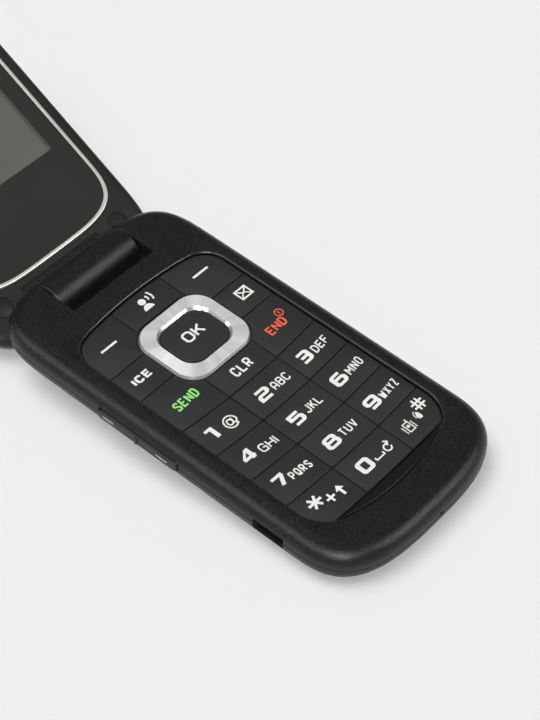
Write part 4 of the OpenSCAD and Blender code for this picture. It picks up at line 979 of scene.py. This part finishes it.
# Each letter is a row of strokes in a box that is 1 wide and 1 high.
ROUND_LETTER = (((.5, 1), (.24, 1), (0, .8), (0, .2), (.24, 0), (.5, 0)),
                ((.5, 0), (.76, 0), (1, .2), (1, .8), (.76, 1), (.5, 1)))
GLYPHS = {
    "A": (((0, 0), (0, .72), (.28, 1), (.72, 1), (1, .72), (1, 0)), ((0, .38), (1, .38))),
    "B": (((0, 0), (0, 1)), ((0, 1), (.82, 1), (1, .86), (1, .66), (.84, .53), (0, .53)),
          ((0, .53), (.84, .53), (1, .4), (1, .14), (.82, 0), (0, 0))),
    "C": (((1, .78), (.76, 1), (.24, 1), (0, .8), (0, .2), (.24, 0), (.76, 0), (1, .22)),),
    "D": (((0, .5), (0, 1), (.68, 1), (1, .76), (1, .5)), ((1, .5), (1, .24), (.68, 0), (0, 0), (0, .5))),
    "E": (((1, 1), (0, 1), (0, 0), (1, 0)), ((0, .52), (.86, .52))),
    "F": (((1, 1), (0, 1), (0, 0)), ((0, .5), (.86, .5))),
    "G": (((1, .8), (.76, 1), (.24, 1), (0, .8), (0, .2), (.24, 0), (1, 0), (1, .5), (.5, .5)),),
    "H": (((0, 0), (0, 1)), ((1, 0), (1, 1)), ((0, .5), (1, .5))),
    "I": (((.5, 0), (.5, 1)),),
    "J": (((1, 1), (1, .2), (.76, 0), (.24, 0), (0, .2)),),
    "K": (((0, 0), (0, 1)), ((.94, 1), (.1, .42)), ((.38, .62), (.97, 0))),
    "L": (((0, 1), (0, 0), (1, 0)),),
    "M": (((0, 0), (0, 1)), ((1, 0), (1, 1)), ((.06, .92), (.5, .34)), ((.94, .92), (.5, .34))),
    "N": (((0, 0), (0, 1)), ((1, 0), (1, 1)), ((.06, .93), (.94, .07))),
    "O": ROUND_LETTER,
    "P": (((0, 0), (0, 1)), ((0, 1), (.76, 1), (1, .82), (1, .58), (.76, .42), (0, .42))),
    "Q": ROUND_LETTER + (((.5, .3), (1, -.08)),),
    "R": (((0, 0), (0, 1)), ((0, 1), (.76, 1), (1, .84), (1, .62), (.76, .45), (0, .45)),
          ((.55, .45), (.95, 0))),
    "S": (((1, .8), (.78, 1), (.22, 1), (0, .84), (0, .66), (1, .36), (1, .17), (.78, 0), (.22, 0),
           (0, .2)),),
    "T": (((0, 1), (1, 1)), ((.5, 1), (.5, 0))),
    "U": (((0, 1), (0, .2), (.24, 0), (.76, 0), (1, .2), (1, 1)),),
    "V": (((0, 1), (.46, 0)), ((1, 1), (.54, 0))),
    "W": (((0, 1), (.22, 0)), ((.28, 0), (.48, .8)), ((.52, .8), (.72, 0)), ((.78, 0), (1, 1))),
    "X": (((0, 1), (1, 0)), ((0, 0), (1, 1))),
    "Y": (((0, 1), (.5, .45), (1, 1)), ((.5, .45), (.5, 0))),
    "Z": (((0, 1), (1, 1)), ((0, 0), (1, 0)), ((.9, .93), (.1, .07))),
    "1": (((0, 1), (1, 1), (1, 0)),),
    "2": (((0, 1), (.86, 1), (1, .88), (1, .62), (.86, .5), (.14, .5), (0, .38), (0, 0), (1, 0)),),
    "3": (((0, 1), (.86, 1), (1, .88), (1, .12), (.86, 0), (0, 0)), ((.12, .5), (1, .5))),
    "4": (((.76, 0), (.76, 1)), ((0, .24), (1, .24)), ((.7, .96), (.04, .3))),
    "5": (((1, 1), (0, 1), (0, .58), (.86, .58), (1, .46), (1, .12), (.86, 0), (0, 0)),),
    "6": (((.94, 1), (.14, 1), (0, .88), (0, .12), (.14, 0), (.5, 0)),
          ((.5, 0), (.86, 0), (1, .12), (1, .45), (.86, .57), (0, .57))),
    "7": (((0, 1), (1, 1)), ((.9, .94), (.4, 0))),
    "8": (((.5, 1), (.2, 1), (.06, .9), (.06, .62), (.16, .53)),
          ((.5, 1), (.8, 1), (.94, .9), (.94, .62), (.84, .53)),
          ((.5, 0), (.14, 0), (0, .12), (0, .4), (.14, .53), (.5, .53)),
          ((.5, .53), (.86, .53), (1, .4), (1, .12), (.86, 0), (.5, 0))),
    "9": (((.06, 0), (.86, 0), (1, .12), (1, .88), (.86, 1), (.5, 1)),
          ((.5, 1), (.14, 1), (0, .88), (0, .55), (.14, .43), (1, .43))),
    "0": (((.5, 1), (.12, 1), (0, .9), (0, .1), (.12, 0), (.5, 0)),
          ((.5, 0), (.88, 0), (1, .1), (1, .9), (.88, 1), (.5, 1))),
}
# the pen's share left in the slanted strokes of 4, N, M and W
SLIM = 0.68
WIDTHS = {"I": 0.0, "M": 1.25, "W": 1.3, "N": 1.05}


def stroke(points, pen_x, pen_y=None, corner=0.3):
    """Outline of a line drawn with a pen pen_x wide and pen_y high: sharp inside its bends, cut off
    outside them by the given share of the pen."""
    pen_y = pen_y or pen_x
    stretch = pen_y / pen_x
    half = pen_y / 2
    line = [Vector((x * stretch, y)) for x, y in points]
    left, right = [], []
    for index, place in enumerate(line):
        back = (place - line[index - 1]).normalized() if index else (line[1] - place).normalized()
        ahead = (line[index + 1] - place).normalized() if index < len(line) - 1 else back
        middle = (back + ahead).normalized()
        side = Vector((-middle.y, middle.x)) * (half / max(0.5, middle.dot(ahead)))
        bend = back.x * ahead.y - back.y * ahead.x
        inner, outer = (left, right) if bend > 0 else (right, left)
        inwards = side if bend > 0 else -side
        inner.append(place + inwards)
        if abs(bend) > 0.4:
            outer.append(place - inwards - back * half * corner)
            outer.append(place - inwards + ahead * half * corner)
        else:
            outer.append(place - inwards)
    return [(place.x / stretch, place.y) for place in left + right[::-1]]


def lettering(text, x0, x1, low, high, pen, lean=0.0, pen_y=None, gap=0.33):
    """Outlines of a word's strokes inside a box, rising by lean per millimetre."""
    pen_y = pen_y or pen
    gap = gap if len(text) > 1 else 0
    shares = [WIDTHS.get(letter, 1.0) for letter in text]
    narrow = sum(pen for share in shares if share == 0)
    unit = (x1 - x0 - gap * (len(text) - 1) - narrow) / max(0.001, sum(shares))
    middle = (x0 + x1) / 2
    outlines = []
    x = x0
    for letter, share in zip(text, shares):
        width = share * unit if share else pen
        for points in GLYPHS[letter]:
            placed = []
            for u, v in points:
                px = x + pen / 2 + u * (width - pen)
                placed.append((px, low + pen_y / 2 + v * (high - low - pen_y) + lean * (px - middle)))
            (u0, v0), (u1, v1) = points[:2]
            slanted = len(points) == 2 and u0 != u1 and v0 != v1
            slim = SLIM if letter in "4NMW" and pen > 0.4 and slanted else 1.0
            outlines.append(stroke(placed, pen * slim, pen_y * slim))
        x += width + gap
    return outlines


def dot(x, y, radius, count=24):
    return arc(x, y, radius, 0, 360 - 360 / count, count - 1)


def star(x, y):
    outlines = []
    for angle in (0, 54, 126):
        reach = 1.8 if angle == 0 else 1.65
        along = (math.cos(math.radians(angle)) * reach, math.sin(math.radians(angle)) * reach)
        outlines.append(stroke([(x - along[0], y - along[1]), (x + along[0], y + along[1])], 0.6))
    return outlines


def at_sign():
    x, y = -12.2, -6.28
    ring = arc(x, y, 1.55, -38, -372, 36)
    eye = arc(x - 0.2, y + 0.1, 0.62, 0, 180, 10)
    eye_low = arc(x - 0.2, y - 0.1, 0.62, 180, 360, 10)
    tail = [(x + 0.6, y + 0.8), (x + 0.45, y - 0.55), (x + 0.8, y - 0.85), (x + 1.5, y - 0.3)]
    return [stroke(line, THIN_PEN) for line in (ring, eye + eye_low[:-1] + [(x + 0.42, y)], tail)]


def voice_mark():
    shoulders = arc(-0.39, 26.4, 1.38, 0, 180, 16)
    return [dot(-0.44, 28.94, 0.9), [(x, 26.2 + (y - 26.2) * 1.05) for x, y in shoulders],
            stroke(arc(0.3, 29.05, 1.05, -38, 38, 6), MARK_PEN),
            stroke(arc(0.15, 29.05, 2.3, -33, 33, 8), MARK_PEN)]


def envelope_mark():
    x0, x1, y0, y1 = 14.88, 18.0, 13.78, 16.4
    middle = ((x0 + x1) / 2, 15.0)
    return ([stroke([(x, y0 - 0.21), (x, y1 + 0.21)], MARK_PEN) for x in (x0, x1)]
            + [stroke([(x0, y), (x1, y)], MARK_PEN) for y in (y0, y1)]
            + [stroke([(x0, y1), middle, (x1, y1)], THIN_PEN)]
            + [stroke([(x, y0), (middle[0] + off, middle[1])], 0.28) for x, off in ((x0, -0.3), (x1, 0.3))])


def star_row():
    """The star, and a plus sign with an arrow beside it."""
    arrow = [(-10.82, -34.83), (-10.18, -34.83), (-10.18, -33.3), (-9.4, -33.3), (-10.5, -32.0),
             (-11.6, -33.3), (-10.82, -33.3)]
    return (star(-16.37, -31.74)
            + [stroke([(-14.4, -33.26), (-12.15, -33.26)], 0.5),
               stroke([(-13.28, -32.14), (-13.28, -34.38)], 0.5), arrow])


def zero_row():
    """The zero, with a space sign and a shift arrow beside it."""
    hook = arc(4.26, -33.65, 0.86, 75, 352, 20)
    return (lettering("0", -4.3, -0.67, -34.9, -31.6, 1.05, pen_y=0.75)
            + [stroke([(0.28, -33.5), (0.28, -34.22), (2.62, -34.22), (2.62, -33.5)], THIN_PEN),
               stroke(hook, 0.36), stroke([(4.4, -32.82), (5.2, -32.62)], 0.36),
               stroke([(4.6, -31.95), (5.3, -32.6), (4.62, -33.3)], 0.36)])


def hash_row():
    """The hash, with a ringing phone and a hand beside it."""
    outlines = []
    for offset in (-0.52, 0.52):
        outlines.append(stroke([(17.43 + offset, -32.75), (17.43 + offset, -29.65)], 0.46))
        outlines.append(stroke([(15.83, -31.2 + offset - 0.05), (19.03, -31.2 + offset + 0.05)], 0.46))
    for x0, way in ((9.95, -1), (12.7, 1)):
        zigzag = [(x0 + way * (0.12, -0.1)[index % 2], y)
                  for index, y in enumerate((-32.7, -33.05, -33.4, -33.75, -34.1, -34.45, -34.75))]
        outlines.append(stroke(zigzag, 0.2))
    for points in ([(11.35, -32.38), (10.6, -32.38), (10.6, -34.72), (11.35, -34.72)],
                   [(11.35, -34.72), (12.1, -34.72), (12.1, -32.38), (11.35, -32.38)]):
        outlines.append(stroke(points, 0.26))
    outlines.append(stroke([(12.0, -32.4), (12.05, -31.65)], 0.3))
    outlines.append(dot(11.35, -33.4, 0.4, 16))
    outlines.append([(14.7, -34.0), (15.55, -34.0), (15.68, -33.3), (15.6, -32.6), (15.2, -32.1),
                     (14.95, -32.35), (14.55, -32.9), (14.5, -33.5)])
    outlines.append(stroke([(14.35, -33.4), (14.2, -32.9), (14.45, -32.2), (15.0, -31.8)], 0.2))
    return outlines


def power_ring():
    lines = (arc(17.2, 5.9, 0.95, 92, 270, 14), arc(17.2, 5.9, 0.95, -90, 88, 14),
             [(17.2, 6.35), (17.2, 5.4)])
    return [stroke(line, 0.27) for line in lines]


LEFT_LEAN = -0.085
RIGHT_LEAN = 0.1
NUMBER_PEN = 0.98
NUMBER_PEN_Y = 0.68


def numbered(digit, box, word="", word_box=None, lean=0.0):
    outlines = lettering(digit, *box, NUMBER_PEN, lean * 0.35, NUMBER_PEN_Y)
    if word:
        outlines += lettering(word, *word_box, 0.33, lean)
    return outlines


LEGENDS = {
    "soft_left": [stroke([(-16.6, 25.3), (-12.1, 25.3)], 0.55)],
    "soft_right": [stroke([(12.2, 25.7), (16.8, 25.7)], 0.55)],
    "voice": voice_mark(),
    "ice": lettering("ICE", -18.3, -13.2, 13.8, 15.8, 0.56, pen_y=0.46, gap=0.34),
    "ok": lettering("OK", -2.55, 3.05, 13.55, 16.45, 0.54, pen_y=0.5, gap=0.35),
    "mail": envelope_mark(),
    "send": lettering("SEND", -17.4, -10.7, 2.95, 5.35, 0.46, 0.03, 0.4, gap=0.26),
    "clear": lettering("CLR", -2.45, 3.05, 0.35, 2.95, 0.47, pen_y=0.42, gap=0.3),
    "end": lettering("END", 11.2, 16.7, 2.6, 4.95, 0.46, 0.03, 0.4, gap=0.26) + power_ring(),
    "1": numbered("1", (-18.55, -16.0, -7.5, -4.1)) + at_sign(),
    "2": numbered("2", (-4.05, -0.3, -8.05, -4.9), "ABC", (0.44, 5.33, -7.7, -5.45)),
    "3": numbered("3", (9.55, 13.05, -7.7, -4.55), "DEF", (13.9, 18.75, -7.15, -5.0), RIGHT_LEAN),
    "4": numbered("4", (-18.5, -14.45, -16.15, -12.6), "GHI", (-13.7, -9.2, -16.65, -14.4), LEFT_LEAN),
    "5": numbered("5", (-4.2, -0.6, -17.05, -13.9), "JKL", (0.2, 5.0, -16.55, -14.3)),
    "6": numbered("6", (9.7, 13.35, -16.75, -13.55), "MNO", (14.05, 18.9, -16.2, -13.95), RIGHT_LEAN),
    "7": numbered("7", (-18.75, -14.85, -24.9, -21.8), "PQRS", (-14.8, -9.3, -25.45, -23.4), LEFT_LEAN),
    "8": numbered("8", (-4.25, -0.4, -26.1, -22.95), "TUV", (0.45, 5.1, -25.7, -23.55)),
    "9": numbered("9", (9.4, 13.15, -25.65, -22.5), "WXYZ", (13.7, 19.25, -25.3, -23.15), RIGHT_LEAN),
    "star": star_row(),
    "0": zero_row(),
    "hash": hash_row(),
}


def build_legend(name, outlines):
    top = OK_TOP if name == "ok" else KEY_TOP
    marks = []
    for index, outline in enumerate(outlines):
        marks.append(slab("mark", outline, top - 0.03, top + 0.02 + index * 0.0015))
    material = {"send": legend_green, "end": legend_red}.get(name, legend_white)
    settle(gather(marks, f"legend_{name}"), f"button_{name}", material)


# ---- put the phone together ----
build_front_housing()
build_rear_housing()
build_battery_cover()
for key_name in KEYS:
    build_key(key_name)
build_centre_key()
build_trim()
build_ring()
build_side_keys()
build_lid_inner()
build_lid_outer()
build_window()
build_lid_details()
for key_name, key_outlines in LEGENDS.items():
    build_legend(key_name, key_outlines)

FINISHES = {
    "soft_black": soft_touch, "side_grey": side_plastic, "key_grey": key_plastic, "silver": ring_painted_sheen_metal,
    "lid_grey": lid_plastic, "lid_shell": shell_plastic, "window": window_plastic, "display": display_grey,
    "board": board_green, "metal": bare_metal, "rubber": soft_rubber, "gold": gold_metal, "film": dome_film,
    "battery": battery_wrap, "dark_plastic": dark_plastic, "copper": copper_film,
}
slot_of_node = {part["node"]: part["material_slot"] for part in frame["record"]["subparts"]}
for node_name, node_object in frame["nodes"].items():
    node_finish = FINISHES.get(slot_of_node.get(node_name), dark_plastic)
    if not node_object.material_slots:
        node_object.data.materials.append(node_finish)
    for material_slot in node_object.material_slots:
        material_slot.material = node_finish
for material_slot in frame["nodes"]["charge_port"].material_slots:
    material_slot.material = socket_steel

# ---- studio ----
STUDIO_GREY = "#efefef"
FLOOR_RADIUS = 6
LENS_MM = 100.535
CAMERA_PLACE = (-0.213614, -0.228749, 0.312001)
CAMERA_TURNS = (("Z", -49.625), ("X", 90 - 46.187), ("Z", -0.094))

let_go()
bpy.ops.mesh.primitive_circle_add(vertices=96, radius=FLOOR_RADIUS, fill_type="NGON")
floor = bpy.context.object
floor.name = "studio_floor"
floor_paint, floor_tree, floor_shader = new_material("studio_floor_pale")
feed_all(floor_tree, floor_shader, Base_Color=paint(STUDIO_GREY), Roughness=1.0, Specular_IOR_Level=0.0)
floor.data.materials.append(floor_paint)

world = bpy.data.worlds.new("studio_light")
bpy.context.scene.world = world
world.use_nodes = True
sky = world.node_tree
seen = add(sky, "LightPath", {}).node.outputs
# matt surfaces are lit at the first strength, mirrors show the second, and the backdrop is at full
strength = mix(sky, "FLOAT", seen["Is Glossy Ray"], 0.1, 0.24)
strength = mix(sky, "FLOAT", seen["Is Camera Ray"], strength, 1.0)
feed_all(sky, sky.nodes["Background"], Color=paint(STUDIO_GREY), Strength=strength)


def lamp(name, source, strength, width, shadow=True, shine=True, fill=True):
    """A far soft lamp from the given direction: shine is whether reflections show it, fill whether it
    lights what it falls on."""
    light = bpy.data.lights.new(name, "SUN")
    light.energy = strength
    light.angle = math.radians(width)
    light.use_shadow = shadow
    holder = bpy.data.objects.new(name, light)
    bpy.context.scene.collection.objects.link(holder)
    holder.rotation_euler = Vector(source).to_track_quat("Z", "Y").to_euler()
    holder.visible_glossy = shine
    holder.visible_diffuse = fill
    return holder


lamp("overhead_softbox", (-0.27, 0.22, 0.94), 0.95, 36, shine=False)
lamp("overhead_fill", (-0.12, -0.12, 0.98), 1.1, 40, shadow=False, shine=False)
lamp("back_softbox", (0.04, 0.45, 0.89), 0.35, 36, shine=False)
lamp("front_softbox", (-0.65, -0.65, 0.41), 1.45, 20, shadow=False, shine=False)
lamp("left_panel", (-0.62, 0.59, 0.51), 0.7, 24, shadow=False, fill=False)
lamp("side_panel", (-0.75, 0.1, 0.65), 0.9, 26, shadow=False, fill=False)
lamp("front_panel", (-0.57, -0.53, 0.62), 3.0, 22, shadow=False, fill=False)
lamp("right_panel", (0.46, -0.7, 0.55), 1.55, 24, shadow=False, fill=False)
lamp("back_panel", (0.2, 0.3, 0.93), 0.13, 16, shadow=False, fill=False)

camera_data = bpy.data.cameras.new("studio_camera")
camera = bpy.data.objects.new("studio_camera", camera_data)
bpy.context.scene.collection.objects.link(camera)
camera_data.lens = LENS_MM
camera_data.sensor_width = 36
camera_data.clip_start = 0.01
camera_data.clip_end = 20
stand = Matrix.Translation(CAMERA_PLACE)
for turned_about, degrees in CAMERA_TURNS:
    stand = stand @ Matrix.Rotation(math.radians(degrees), 4, turned_about)
camera.matrix_world = stand
bpy.context.scene.camera = camera
bpy.context.scene.view_settings.view_transform = "Standard"
